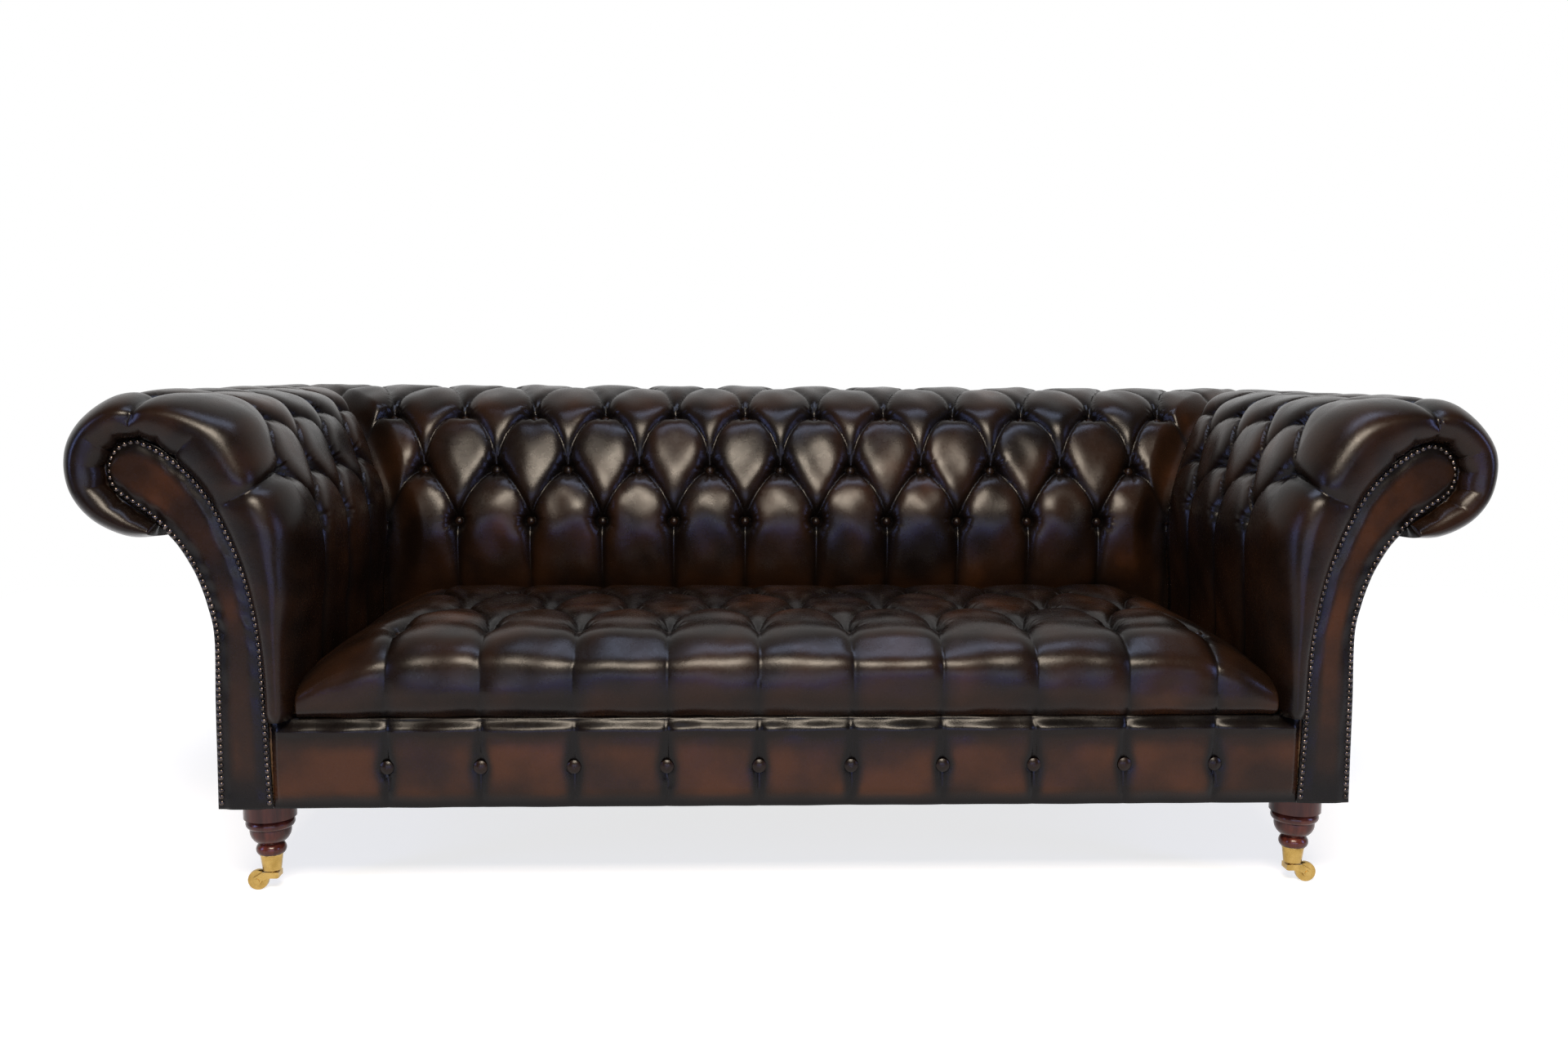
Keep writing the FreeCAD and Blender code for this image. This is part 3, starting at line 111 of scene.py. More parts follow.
class Sheet:
    """A sheet of leather with its buttons and folds: u and t of each of its points, and its level."""

    def __init__(self, u_stations, t_stations):
        self.us = u_stations
        self.ts = t_stations
        self.u, self.t = np.meshgrid(u_stations, t_stations, indexing="ij")
        self.level = np.ones(self.u.shape)
        self.fixed = np.zeros(self.u.shape, bool)
        self.fold = np.zeros(self.u.shape, bool)
        self.lips = []

    def nearest(self, values, value):
        return np.abs(values - value).argmin()

    def crease(self, us, ts, levels, lip=0, rise=0.15):
        """Lays a fold along a path, and moves the nearest points of the sheet onto it.

        lip is the side, along t, of the cell below the fold, whose leather stands up at once beside it.
        """
        us, ts, levels = (np.asarray(x, float) for x in (us, ts, levels))
        for j in np.flatnonzero((self.ts >= ts.min()) & (self.ts <= ts.max())):
            self.cross(us, ts, levels, j, True, lip, rise)
        for i in np.flatnonzero((self.us >= us.min()) & (self.us <= us.max())):
            self.cross(us, ts, levels, i, False, lip, rise)

    def cross(self, us, ts, levels, index, along_t, lip, rise):
        """Marks where a path crosses one line of the sheet, if it crosses that line steeply enough."""
        line, other = (ts, us) if along_t else (us, ts)
        value = (self.ts if along_t else self.us)[index]
        grid = self.us if along_t else self.ts
        order = np.argsort(line)
        place = np.interp(value, line[order], other[order])
        probe = 0.5
        nearby = np.interp(value + probe, line[order], other[order])
        if abs(nearby - place) > 1.04 * probe:
            return
        near = self.nearest(grid, place)
        i, j = (near, index) if along_t else (index, near)
        if self.fixed[i, j] and not self.fold[i, j]:
            return
        level = np.interp(value, line[order], levels[order])
        if along_t:
            self.u[i, j] = place
        else:
            self.t[i, j] = place
        self.level[i, j] = min(level, self.level[i, j])
        self.fixed[i, j] = True
        self.fold[i, j] = True
        if not lip:
            return
        beside = (i - 1, j) if along_t else (i, j + lip)
        if min(beside) < 0 or beside[1] >= len(self.ts) or self.fixed[beside]:
            return
        away = abs(self.u[beside] - self.u[i, j]) + abs(self.t[beside] - self.t[i, j])
        self.lips.append((beside, level + rise * min(away / 3.0, 1.2)))

    def raise_lips(self):
        """Stands the leather up beside the folds that have a lip."""
        for beside, level in self.lips:
            if not self.fixed[beside]:
                self.level[beside] = min(level, 0.97)
        for beside, level in self.lips:
            self.fixed[beside] = True

    def button(self, u, t, radius=8.0, slope=0.019):
        """Pulls a hollow into the sheet for a button."""
        away = np.hypot(self.u - u, self.t - t)
        inside = away < radius
        self.level[inside] = (away * slope)[inside]
        self.fixed |= inside
        self.fold &= ~inside

    def settle(self, reach):
        """Lets the leather swell between its buttons and folds, as a stretched skin over padding.

        reach is how far from a fold the leather takes to rise.
        """
        rounds = 220
        step = float(np.median(np.diff(self.ts)))
        pull = (step / reach) ** 2
        held = np.where(self.fixed, self.level, 0)
        free = ~self.fixed
        level = np.pad(np.where(self.fixed, self.level, 1.0), 1, mode="edge")
        for _ in range(rounds):
            near = level[:-2, 1:-1] + level[2:, 1:-1] + level[1:-1, :-2] + level[1:-1, 2:]
            level[1:-1, 1:-1] = held + free * (near + pull) / (4 + pull)
            level[0] = level[1]
            level[-1] = level[-2]
            level[:, 0] = level[:, 1]
            level[:, -1] = level[:, -2]
        self.level = level[1:-1, 1:-1].copy()


def arch(upper, lower, bend):
    """A fold from an upper button to a lower one beside it: it leaves level and ends steeply."""
    share = np.linspace(0, 1, 160)
    drop = 1 - (1 - share**bend) ** (1 / bend)
    us = upper[0] + (lower[0] - upper[0]) * drop
    ts = upper[1] + (lower[1] - upper[1]) * share
    return us, ts


def fold_levels(us, ts, top, ends=(True, True), depth_run=24.0):
    """Levels along a fold: deep at the buttons that it ends in, and near the top between them."""
    along = chords(np.column_stack([us, ts]))
    away = np.full(len(along), 1e9)
    if ends[0]:
        away = np.minimum(away, along)
    if ends[1]:
        away = np.minimum(away, along[-1] - along)
    return top * (1 - np.exp(-(away / depth_run) ** 1.1)) + 0.1 * np.exp(-away / 8)


def closed_mesh(name, front, back, rub_and_shade):
    """A closed skin: the front sheet, carried on round the back lines, with its ends shut.

    The last argument is how light the front sheet is: rubbed finish and painted shade. The back lines are
    unrubbed.
    """
    grid = np.concatenate([front, back, front[:1]], axis=0)
    rows, columns = grid.shape[:2]
    bm = bmesh.new()
    bmesh.ops.create_grid(bm, x_segments=rows - 1, y_segments=columns - 1, size=0.5)
    mesh = bpy.data.meshes.new(name)
    bm.to_mesh(mesh)
    bm.free()
    flat = np.empty(len(mesh.vertices) * 3)
    mesh.vertices.foreach_get("co", flat)
    flat = flat.reshape(-1, 3)
    i = np.rint((flat[:, 0] + 0.5) * (rows - 1)).astype(int)
    j = np.rint((flat[:, 1] + 0.5) * (columns - 1)).astype(int)
    mesh.vertices.foreach_set("co", (grid[i, j] * MM).ravel())
    values = np.concatenate([rub_and_shade, np.zeros((back.shape[0], columns)), rub_and_shade[:1]], axis=0)
    # How light each point is, rubbed finish and painted shade in the folds, is kept on the mesh for the
    # leather's colour.
    layer = mesh.attributes.new("rub_and_shade", "FLOAT", "POINT")
    layer.data.foreach_set("value", values[i, j])
    bm = bmesh.new()
    bm.from_mesh(mesh)
    bmesh.ops.remove_doubles(bm, verts=bm.verts, dist=0.0001)
    bmesh.ops.dissolve_degenerate(bm, edges=bm.edges, dist=0.00002)
    holes = [e for e in bm.edges if e.is_boundary]
    bmesh.ops.holes_fill(bm, edges=holes, sides=0)
    bmesh.ops.triangulate(bm, faces=[f for f in bm.faces if len(f.verts) > 4])
    bmesh.ops.recalc_face_normals(bm, faces=bm.faces)
    for face in bm.faces:
        face.smooth = True
    bm.to_mesh(mesh)
    bm.free()
    return linked(name, mesh)


def finished(piece, material, nodes=()):
    """Gives a piece its finish, its body and the nodes that it stands for."""
    piece.data.materials.clear()
    piece.data.materials.append(material)
    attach(piece, ROOT)
    if nodes:
        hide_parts(*nodes)
    return piece


# Materials.


def new_material(name):
    material = bpy.data.materials.new(name)
    material.use_nodes = True
    tree = material.node_tree
    shader = tree.nodes["Principled BSDF"]
    return material, tree, shader


def add(tree, kind, **settings):
    node = tree.nodes.new(kind)
    for key, value in settings.items():
        setattr(node, key, value)
    return node


def noise(tree, place, scale, detail=3.0, rough=0.55, stretch=None):
    """Noise on the object's own coordinates."""
    node = add(tree, "ShaderNodeTexNoise")
    node.inputs["Scale"].default_value = scale
    node.inputs["Detail"].default_value = detail
    node.inputs["Roughness"].default_value = rough
    if stretch:
        mapping = add(tree, "ShaderNodeMapping")
        mapping.inputs["Scale"].default_value = stretch
        tree.links.new(place, mapping.inputs["Vector"])
        place = mapping.outputs["Vector"]
    tree.links.new(place, node.inputs["Vector"])
    return node.outputs["Fac"]


def ramp(tree, value, *stops):
    """Colours along a value."""
    node = add(tree, "ShaderNodeValToRGB")
    elements = node.color_ramp.elements
    while len(elements) < len(stops):
        elements.new(0.5)
    for element, (position, colour) in zip(elements, stops):
        element.position = position
        element.color = (*colour, 1)
    tree.links.new(value, node.inputs["Fac"])
    return node.outputs["Color"]


def calc(tree, operation, a, b):
    node = add(tree, "ShaderNodeMath", operation=operation)
    for socket, value in zip(node.inputs, (a, b)):
        if isinstance(value, (int, float)):
            socket.default_value = value
        else:
            tree.links.new(value, socket)
    return node.outputs[0]


def stretch_range(tree, value, low, high, to_low, to_high):
    node = add(tree, "ShaderNodeMapRange")
    for socket, number in zip(("From Min", "From Max", "To Min", "To Max"), (low, high, to_low, to_high)):
        node.inputs[socket].default_value = number
    tree.links.new(value, node.inputs["Value"])
    return node.outputs["Result"]


def bump(tree, shader, height, distance, strength, before=None):
    node = add(tree, "ShaderNodeBump")
    node.inputs["Strength"].default_value = strength
    node.inputs["Distance"].default_value = distance
    tree.links.new(height, node.inputs["Height"])
    if before is not None:
        tree.links.new(before, node.inputs["Normal"])
    tree.links.new(node.outputs["Normal"], shader.inputs["Normal"])
    return node.outputs["Normal"]


def object_place(tree):
    return add(tree, "ShaderNodeTexCoord").outputs["Object"]


def leather_material(name, uses_rub_and_shade):
    """Antique leather: nearly black in the folds, as finish and painted shade; hand-rubbed to warm brown where
    it stands out.

    With the flag set it is coloured by its mesh's values, rubbed finish and painted shade; other leather gets
    large soft patches.
    """
    material, tree, shader = new_material(name)
    place = object_place(tree)
    clouds = noise(tree, place, 9.0, 4.0, 0.6)
    # Lightness: the rubbed finish on the cells, and painted shade that makes the folds and pits nearly black.
    if uses_rub_and_shade:
        lightness = add(tree, "ShaderNodeAttribute", attribute_name="rub_and_shade").outputs["Fac"]
    else:
        lightness = stretch_range(tree, noise(tree, place, 3.2, 3.0, 0.5), 0.0, 1.0, 0.25, 0.6)
    mottle = stretch_range(tree, clouds, 0.3, 0.7, -0.16, 0.16)
    tone = calc(tree, "ADD", lightness, mottle)
    colour = ramp(
        tree,
        tone,
        (0.02, (0.0016, 0.0010, 0.0007)),
        (0.35, (0.0048, 0.0024, 0.0013)),
        (0.68, (0.0130, 0.0053, 0.0022)),
        (1.0, (0.036, 0.0125, 0.0042)),
    )
    tree.links.new(colour, shader.inputs["Base Color"])
    shader.inputs["Specular IOR Level"].default_value = 0.17
    gloss = stretch_range(tree, noise(tree, place, 60.0, 4.0), 0.3, 0.7, 0.24, 0.31)
    tree.links.new(gloss, shader.inputs["Roughness"])
    grain = add(tree, "ShaderNodeTexVoronoi", feature="DISTANCE_TO_EDGE")
    grain.inputs["Scale"].default_value = 620.0
    tree.links.new(place, grain.inputs["Vector"])
    pebbles = stretch_range(tree, grain.outputs["Distance"], 0.0, 0.25, 0.0, 1.0)
    fine = bump(tree, shader, pebbles, 0.00007, 0.4)
    creases = noise(tree, place, 130.0, 5.0, 0.6)
    bump(tree, shader, creases, 0.0003, 0.45, fine)
    return material


def wood_material():
    """Turned mahogany under a glossy polish."""
    material, tree, shader = new_material("polished_mahogany")
    place = object_place(tree)
    grain = noise(tree, place, 60.0, 5.0, 0.6, (1.0, 1.0, 0.12))
    colour = ramp(
        tree,
        grain,
        (0.3, (0.018, 0.0045, 0.0032)),
        (0.52, (0.060, 0.013, 0.0075)),
        (0.75, (0.115, 0.027, 0.013)),
    )
    tree.links.new(colour, shader.inputs["Base Color"])
    shader.inputs["Roughness"].default_value = 0.24
    shader.inputs["Specular IOR Level"].default_value = 0.22
    shader.inputs["Coat Weight"].default_value = 0.15
    shader.inputs["Coat Roughness"].default_value = 0.08
    pores = noise(tree, place, 420.0, 3.0, 0.5, (1.0, 1.0, 0.08))
    bump(tree, shader, pores, 0.0001, 0.25)
    return material


def metal_material(name, dark, light, roughness):
    """Metal with a cloudy tarnish and fine scratches in its polish."""
    material, tree, shader = new_material(name)
    place = object_place(tree)
    tarnish = noise(tree, place, 45.0, 4.0)
    colour = ramp(tree, tarnish, (0.35, dark), (0.65, light))
    tree.links.new(colour, shader.inputs["Base Color"])
    shader.inputs["Metallic"].default_value = 1.0
    wear = noise(tree, place, 260.0, 3.0)
    rough = stretch_range(tree, wear, 0.3, 0.7, roughness - 0.05, roughness + 0.07)
    tree.links.new(rough, shader.inputs["Roughness"])
    bump(tree, shader, noise(tree, place, 520.0, 2.0), 0.00006, 0.4)
    return material


def plain_material(name, dark, light, roughness, scale, depth, stretch=None):
    """A dull stuff with a grain: sawn wood, foam, webbing or cloth."""
    material, tree, shader = new_material(name)
    place = object_place(tree)
    grain = noise(tree, place, scale, 4.0, 0.6, stretch)
    tree.links.new(ramp(tree, grain, (0.3, dark), (0.7, light)), shader.inputs["Base Color"])
    shader.inputs["Roughness"].default_value = roughness
    bump(tree, shader, grain, depth, 0.6)
    return material


LEATHER = leather_material("antique_leather_painted_shade", True)
BUTTON_LEATHER = leather_material("button_leather", False)
MAHOGANY = wood_material()
BRASS = metal_material("satin_brass", (0.36, 0.23, 0.06), (0.52, 0.35, 0.11), 0.26)
NAIL_BRASS = metal_material("antique_nail_brass", (0.030, 0.024, 0.020), (0.085, 0.070, 0.062), 0.2)
STEEL = metal_material("plain_steel", (0.33, 0.33, 0.34), (0.52, 0.52, 0.53), 0.35)
BEECH = plain_material("sawn_beech", (0.50, 0.33, 0.19), (0.72, 0.52, 0.33), 0.6, 40.0, 0.0004, (0.2, 1, 1))
FOAM = plain_material("foam", (0.70, 0.64, 0.48), (0.85, 0.79, 0.62), 0.9, 500.0, 0.0005)
WEBBING = plain_material("jute_webbing", (0.36, 0.27, 0.16), (0.60, 0.48, 0.32), 0.9, 300.0, 0.0006)
DUST_CLOTH = plain_material("dust_cloth", (0.012, 0.012, 0.013), (0.035, 0.035, 0.037), 0.95, 700.0, 0.0003)
BOARD = plain_material("hardboard", (0.24, 0.15, 0.085), (0.36, 0.24, 0.14), 0.8, 250.0, 0.0003)


# The buttoned pads of the arms and back.

# Reach from the roll's centre line towards the seat, and height above the floor. CORE is the hidden side of
# the pads against frame and foam. CORNER is the seam where arm and back meet. The tails run on from the
# topmost buttons round the back of the roll, over the cells and through the pits.
CORE = [
    (20, 611), (-49, 625), (-81, 690), (-57, 747), (-2, 770), (86, 739), (140, 660), (163, 595),
    (172, 520), (172, 400), (172, 304),
]
CORNER = [
    (214, 304), (216, 425), (225, 500), (224, 560), (196, 650), (140, 744), (12, 782), (-72, 750),
    (-99, 690), (-60, 613), (27, 592),
]
ROLL_TAIL = [
    (-38, 796), (-82, 766), (-107, 725), (-112, 690), (-105, 650), (-67, 601), (-20, 580),
    (27, 581),
]
ROLL_TAIL_PIT = [
    (-38, 776), (-72, 752), (-97, 720), (-104, 690), (-97, 655), (-62, 607), (-18, 588), (27, 586),
]


class Section:
    """The two curves across an arm or the back, through the pits and over the cells."""

    def __init__(self, lower, rows, tail_top=ROLL_TAIL, tail_pit=ROLL_TAIL_PIT):
        tops = [top for top, pit in lower] + [top for pit, top in rows] + tail_top
        pits = [pit for top, pit in lower] + [pit for pit, top in rows] + tail_pit
        self.tops = np.array(tops, float)
        self.pits = np.array(pits, float)
        self.knots = chords(self.tops * 0.6 + self.pits * 0.4)
        first = len(lower)
        self.rows = list(self.knots[first : first + len(rows)])
        self.end = self.knots[-1]

    def places(self, u, level):
        """Reach and height at each point of a sheet."""
        flat = u.ravel()
        top = smooth_curve(self.knots, self.tops, flat)
        pit = smooth_curve(self.knots, self.pits, flat)
        place = pit + (top - pit) * level.ravel()[:, None]
        return place.reshape(*u.shape, 2)


def lay_folds(sheet, rows, buttons, bends, top, rng):
    """The folds between each row of buttons and the next. Rows run from the lowest up."""
    for row, bend in enumerate(bends):
        for upper_t in buttons[row + 1]:
            for lower_t in buttons[row]:
                nearest = min(abs(upper_t - other) for other in buttons[row])
                if abs(upper_t - lower_t) > 1.4 * nearest + 12:
                    continue
                us, ts = arch((rows[row + 1], upper_t), (rows[row], lower_t), bend * rng.uniform(0.96, 1.05))
                side = -1 if lower_t > upper_t else 1
                sheet.crease(us, ts, fold_levels(us, ts, top * rng.uniform(0.95, 1.04)), side, 0.17)


def press_buttons(sheet, rows, buttons):
    for row, places in zip(rows, buttons):
        for t in places:
            sheet.button(row, t)


def pleat(sheet, u_range, t, top, rng, lean=0.0):
    """A fold that runs up or down from a button, with a slight bend in it."""
    us = np.linspace(u_range[0], u_range[1], 120)
    share = np.linspace(0, 1, 120)
    sway = rng.uniform(-2.0, 2.0)
    ts = t + sway * np.sin(share * math.pi * 1.4) * soft_step(share * 3) + lean * share
    levels = fold_levels(us, ts, top, (True, False), 22.0)
    order = np.argsort(us)
    for i in np.flatnonzero((sheet.us >= us.min()) & (sheet.us <= us.max())):
        place = np.interp(sheet.us[i], us[order], ts[order])
        level = np.interp(sheet.us[i], us[order], levels[order])
        j = sheet.nearest(sheet.ts, place)
        if sheet.fixed[i, j]:
            continue
        sheet.t[i, j] = place
        sheet.level[i, j] = level
        sheet.fixed[i, j] = True
        sheet.fold[i, j] = True


def puckers(sheet, rows, buttons, rng, depth=1.3):
    """Little gathers in the leather round the buttons."""
    total = np.zeros(sheet.u.shape)
    for row, places in zip(rows, buttons):
        for t in places:
            du = sheet.u - row
            dt = sheet.t - t
            away = np.hypot(du, dt)
            ring = np.exp(-(((away - 17) / 9) ** 2))
            near = away < 45
            angle = np.arctan2(du[near], dt[near])
            waves = sum(np.sin(angle * k + rng.uniform(0, 6.28)) for k in (7, 11, 16)) / 2
            total[near] += ring[near] * waves * depth * rng.uniform(0.5, 1.3)
    return total


def rub_and_shade_of(sheet, seed, base=0.0):
    """How light the leather is: darkest in the folds, as finish and painted shade, and lightest on top of the
    cells.
    """
    waves = ripples(sheet.u, sheet.t, seed, (130, 420))
    fine = ripples(sheet.u, sheet.t, seed + 1, (50, 130))
    # Painted shade together with the finish: the leather gets darker as it sinks into the folds and pits.
    high = soft_step((sheet.level - 0.45) / 0.6)
    return np.clip(high * (0.5 + 0.22 * waves + 0.1 * fine) + base, 0, 1)


def across(places, bulge):
    """A step of the given length out of the leather at each point, in the plane of the section."""
    run = np.gradient(places, axis=0)
    length = np.maximum(np.linalg.norm(run, axis=2, keepdims=True), 1e-6)
    out = np.stack([run[..., 1], -run[..., 0]], axis=2) / length
    return out * bulge[..., None]


def corner_blend(places, u, end_u, left):
    """Draws the sheet in towards the seam that an arm and the back share, where little is left before it."""
    seam = smooth_curve(chords(CORNER) / chords(CORNER)[-1], CORNER, (u / end_u).ravel())
    share = soft_step(1 - left / 48)[..., None]
    return places + (seam.reshape(places.shape) - places) * share


back_section = Section(
    [((225, 304), (205, 304)), ((226, 405), (206, 405)), ((240, 440), (208, 440)), ((251, 490), (210, 490))],
    [((213, 542), (253, 548)), ((181, 636), (219, 650)), ((132, 729), (161, 757)), ((4, 775), (16, 801))],
)
BACK_BUTTONS = [
    [i * 69.0 for i in range(-11, 12, 2)],
    [i * 69.0 for i in range(-12, 13, 2)],
    [i * 69.0 for i in range(-13, 14, 2)],
    [i * 69.0 for i in range(-12, 13, 2)],
]


def back_pad():
    """The inside of the back and its roll."""
    rng = np.random.default_rng(11)
    rows = back_section.rows
    us = stations([0, rows[0] - 130, rows[0] - 60, rows[3] + 30, back_section.end], [14, 5, 2.9, 5.5])
    sheet = Sheet(us, np.linspace(-1098, 1098, 733))
    lay_folds(sheet, rows, BACK_BUTTONS, (1.32, 1.62, 1.42), 0.72, rng)
    press_buttons(sheet, rows, BACK_BUTTONS)
    for t in BACK_BUTTONS[0]:
        pleat(sheet, (rows[0], 0), t, 0.66, rng)
    for t in BACK_BUTTONS[3]:
        pleat(sheet, (rows[3], back_section.end), t, 0.7, rng)
    sheet.raise_lips()
    sheet.settle(11.5)
    places = back_section.places(sheet.u, sheet.level)
    wave = ripples(sheet.u, sheet.t, 5, (60, 150)) * 1.6 * soft_step(sheet.level * 1.5 - 0.4)
    places = places + across(places, wave + puckers(sheet, rows, BACK_BUTTONS, rng))
    limit = SPREAD - places[..., 0]
    places = corner_blend(places, sheet.u, back_section.end, limit - np.abs(sheet.t))
    limit = SPREAD - places[..., 0] - MITRE_GAP
    x = np.clip(sheet.t, -limit, limit)
    front = np.stack([x, ROLL_Y - places[..., 0], places[..., 1]], axis=2)
    core = np.array(CORE, float)
    reach = np.repeat(core[:, :1], sheet.u.shape[1], axis=1)
    limit = SPREAD - reach - MITRE_GAP
    x = np.clip(np.broadcast_to(sheet.ts, reach.shape), -limit, limit)
    height = np.repeat(core[:, 1:], sheet.u.shape[1], axis=1)
    back = np.stack([x, ROLL_Y - reach, height], axis=2)
    return closed_mesh("back_pad", front, back, rub_and_shade_of(sheet, 21))


arm_section = Section(
    [((225, 304), (205, 304)), ((228, 420), (206, 420)), ((237, 490), (204, 490)), ((241, 545), (203, 545))],
    [((201, 588), (240, 596)), ((166, 670), (204, 684)), ((120, 744), (150, 771)), ((4, 775), (16, 801))],
)
FACING_EDGE = [
    (182, 304), (179, 400), (157, 528), (111, 640), (67, 694), (7, 731), (-12, 730), (-25, 721),
    (-36, 705), (-42, 685), (-40, 663), (-30, 648), (-10, 631), (28, 604),
]
# The places on the arm's section that these points of the facing's edge lie opposite to.
EDGE_TARGETS = [
    (225, 304), (227, 400), (229, 520), (224, 650), (163, 767), (16, 801), (-20, 799), (-60, 783),
    (-96, 744), (-112, 690), (-105, 650), (-84, 616), (-40, 584), (27, 581),
]
NOSE = 30.0  # how far the padding stands out in front of the facing
NOSE_START = 62.0  # how far behind the facing it begins to round over
NOSE_RUN = 96.0  # how much leather runs on from there to the facing's edge
ARM_BUTTONS = [
    [151 + 142.0 * i for i in range(4)],
    [80 + 142.0 * i for i in range(5)],
    [151 + 142.0 * i for i in range(5)],
    [80 + 142.0 * i for i in range(5)],
]


def arm_pad(name, side, seed):
    """The inside and roll of an arm. side is 1 on the right and -1 on the left, as seen from the front."""
    rng = np.random.default_rng(seed)
    rows = arm_section.rows
    us = stations([0, rows[0] - 200, rows[0] - 60, rows[3] + 30, arm_section.end], [14, 6, 3.0, 4.0])
    ts = np.concatenate([np.linspace(-NOSE_RUN, 0, 37)[:-1], stations([0, 560, 917], [3.0, 3.6])])
    sheet = Sheet(us, ts)
    lay_folds(sheet, rows, ARM_BUTTONS, (1.4, 1.6, 1.45), 0.7, rng)
    front_folds(sheet, rows)
    press_buttons(sheet, rows, ARM_BUTTONS)
    for t in ARM_BUTTONS[0]:
        pleat(sheet, (rows[0], 0), t, 0.66, rng, lean=12.0)
    for t in ARM_BUTTONS[3]:
        pleat(sheet, (rows[3], rows[3] + 150), t, 0.75, rng)
    ring_folds(sheet, rng)
    sheet.raise_lips()
    sheet.settle(11.5)
    smooth = np.where(sheet.t < NOSE_START, 1.0, sheet.level)
    places = arm_section.places(sheet.u, smooth)
    wave = ripples(sheet.u, sheet.t, seed + 3, (70, 170)) * 1.5 * soft_step(sheet.level * 1.5 - 0.4)
    places = places + across(places, wave + puckers(sheet, rows, ARM_BUTTONS, rng))
    left = DEPTH - places[..., 0] - sheet.t
    places = corner_blend(places, sheet.u, arm_section.end, left)
    y = np.minimum(sheet.t, DEPTH - places[..., 0] - MITRE_GAP)
    places, y = fold_nose(sheet, places, y)
    front = np.stack([side * (SPREAD - places[..., 0]), FRONT + y, places[..., 1]], axis=2)
    core = np.array(CORE, float)
    edge = edge_places(np.linspace(arm_section.end, 0, len(core)))
    share = soft_step((30 - sheet.ts) / 10)[None, :, None]
    lines = core[:, None, :] * (1 - share) + edge[:, None, :] * share
    y = np.clip(np.broadcast_to(sheet.ts, lines.shape[:2]), 2.0, DEPTH - lines[..., 0] - MITRE_GAP)
    back = np.stack([side * (SPREAD - lines[..., 0]), FRONT + y, lines[..., 1]], axis=2)
    return closed_mesh(name, front, back, rub_and_shade_of(sheet, seed + 7))


def edge_places(u):
    """The facing's edge opposite each place across the arm."""
    fine = np.linspace(0, arm_section.end, 900)
    line = smooth_curve(arm_section.knots, arm_section.tops, fine)
    knots = [fine[np.linalg.norm(line - np.array(target), axis=1).argmin()] for target in EDGE_TARGETS]
    knots[0], knots[-1] = 0.0, arm_section.end
    return smooth_curve(knots, FACING_EDGE, u)


def fold_nose(sheet, places, y):
    """Turns the front of the arm's leather over its rounded edge to the facing."""
    turn = np.clip((NOSE_START - sheet.t) / (NOSE_START + NOSE_RUN), 0, 1) * math.pi
    edge = edge_places(sheet.u.ravel()).reshape(places.shape)
    share = ((1 - np.cos(turn)) / 2)[..., None]
    run = edge - places
    length = np.maximum(np.linalg.norm(run, axis=2, keepdims=True), 1)
    sunk = (1 - sheet.level) * 26.0
    moved = places + run * share + run / length * np.cos(turn)[..., None] * sunk[..., None]
    front = y.copy()
    nose = sheet.t < NOSE_START
    rising = NOSE_START - (NOSE + NOSE_START) * np.sin(turn)
    ahead = np.where(turn < math.pi / 2, rising, -NOSE * np.sin(turn))
    front[nose] = (ahead + sunk * np.sin(turn))[nose]
    front[:, 0] = 4.0
    return np.where(nose[..., None], moved, places), front


def front_folds(sheet, rows):
    """The folds that run forwards from the first buttons and over the front edge."""
    share = np.linspace(0, 1, 160)
    ts = 80 - share * 130
    for row, drop in ((rows[1], -48.0), (rows[3], 10.0)):
        us = row + drop * share**1.4
        levels = fold_levels(us, ts, 0.8, (True, False), 60.0) + 0.2 * soft_step(share * 4 - 3)
        sheet.crease(us, ts, levels, 1, 0.05)


def ring_folds(sheet, rng):
    """Short gathers where the leather is drawn in round the scroll."""
    first = arm_section.rows[2] + 20
    for u in np.linspace(first, arm_section.end - 40, 9) + rng.uniform(-9, 9, 9):
        ts = np.linspace(-NOSE_RUN, -NOSE_RUN + rng.uniform(48, 84), 60)
        us = u + rng.uniform(-6, 6) * np.linspace(0, 1, 60)
        sheet.crease(us, ts, 0.84 + 0.16 * np.linspace(0, 1, 60) ** 2)


# The seat and the border below it. Their sections are distance behind the facings and height.

seat_section = Section(
    [((4, 304), (8, 304)), ((-9, 322), (-1, 322)), ((-14, 356), (-2, 356)), ((-6, 392), (6, 388)),
     ((26, 422), (34, 404))],
    [((100, 406), (100, 438)), ((255, 406), (255, 438)), ((410, 406), (410, 438))],
    [(500, 430), (552, 410), (576, 392)],
    [(500, 410), (552, 398), (576, 386)],
)
SEAT_BUTTONS = [
    [20 + (i - 9) * 71.5 for i in range(0, 19, 2)],
    [20 + (i - 9) * 71.5 for i in range(1, 19, 2)],
    [20 + (i - 9) * 71.5 for i in range(0, 19, 2)],
]
SEAT_HALF = 756.6
SEAT_FLAT_HALF = 600.0  # from there outwards the seat's crown falls towards the arms
SEAT_END_DROP = 72.0
SEAT_BASE = 304.0
SEAT_RISE = 134.0
SEAT_CORE = [(576, 352), (400, 352), (200, 352), (36, 352), (36, 330), (36, 304)]


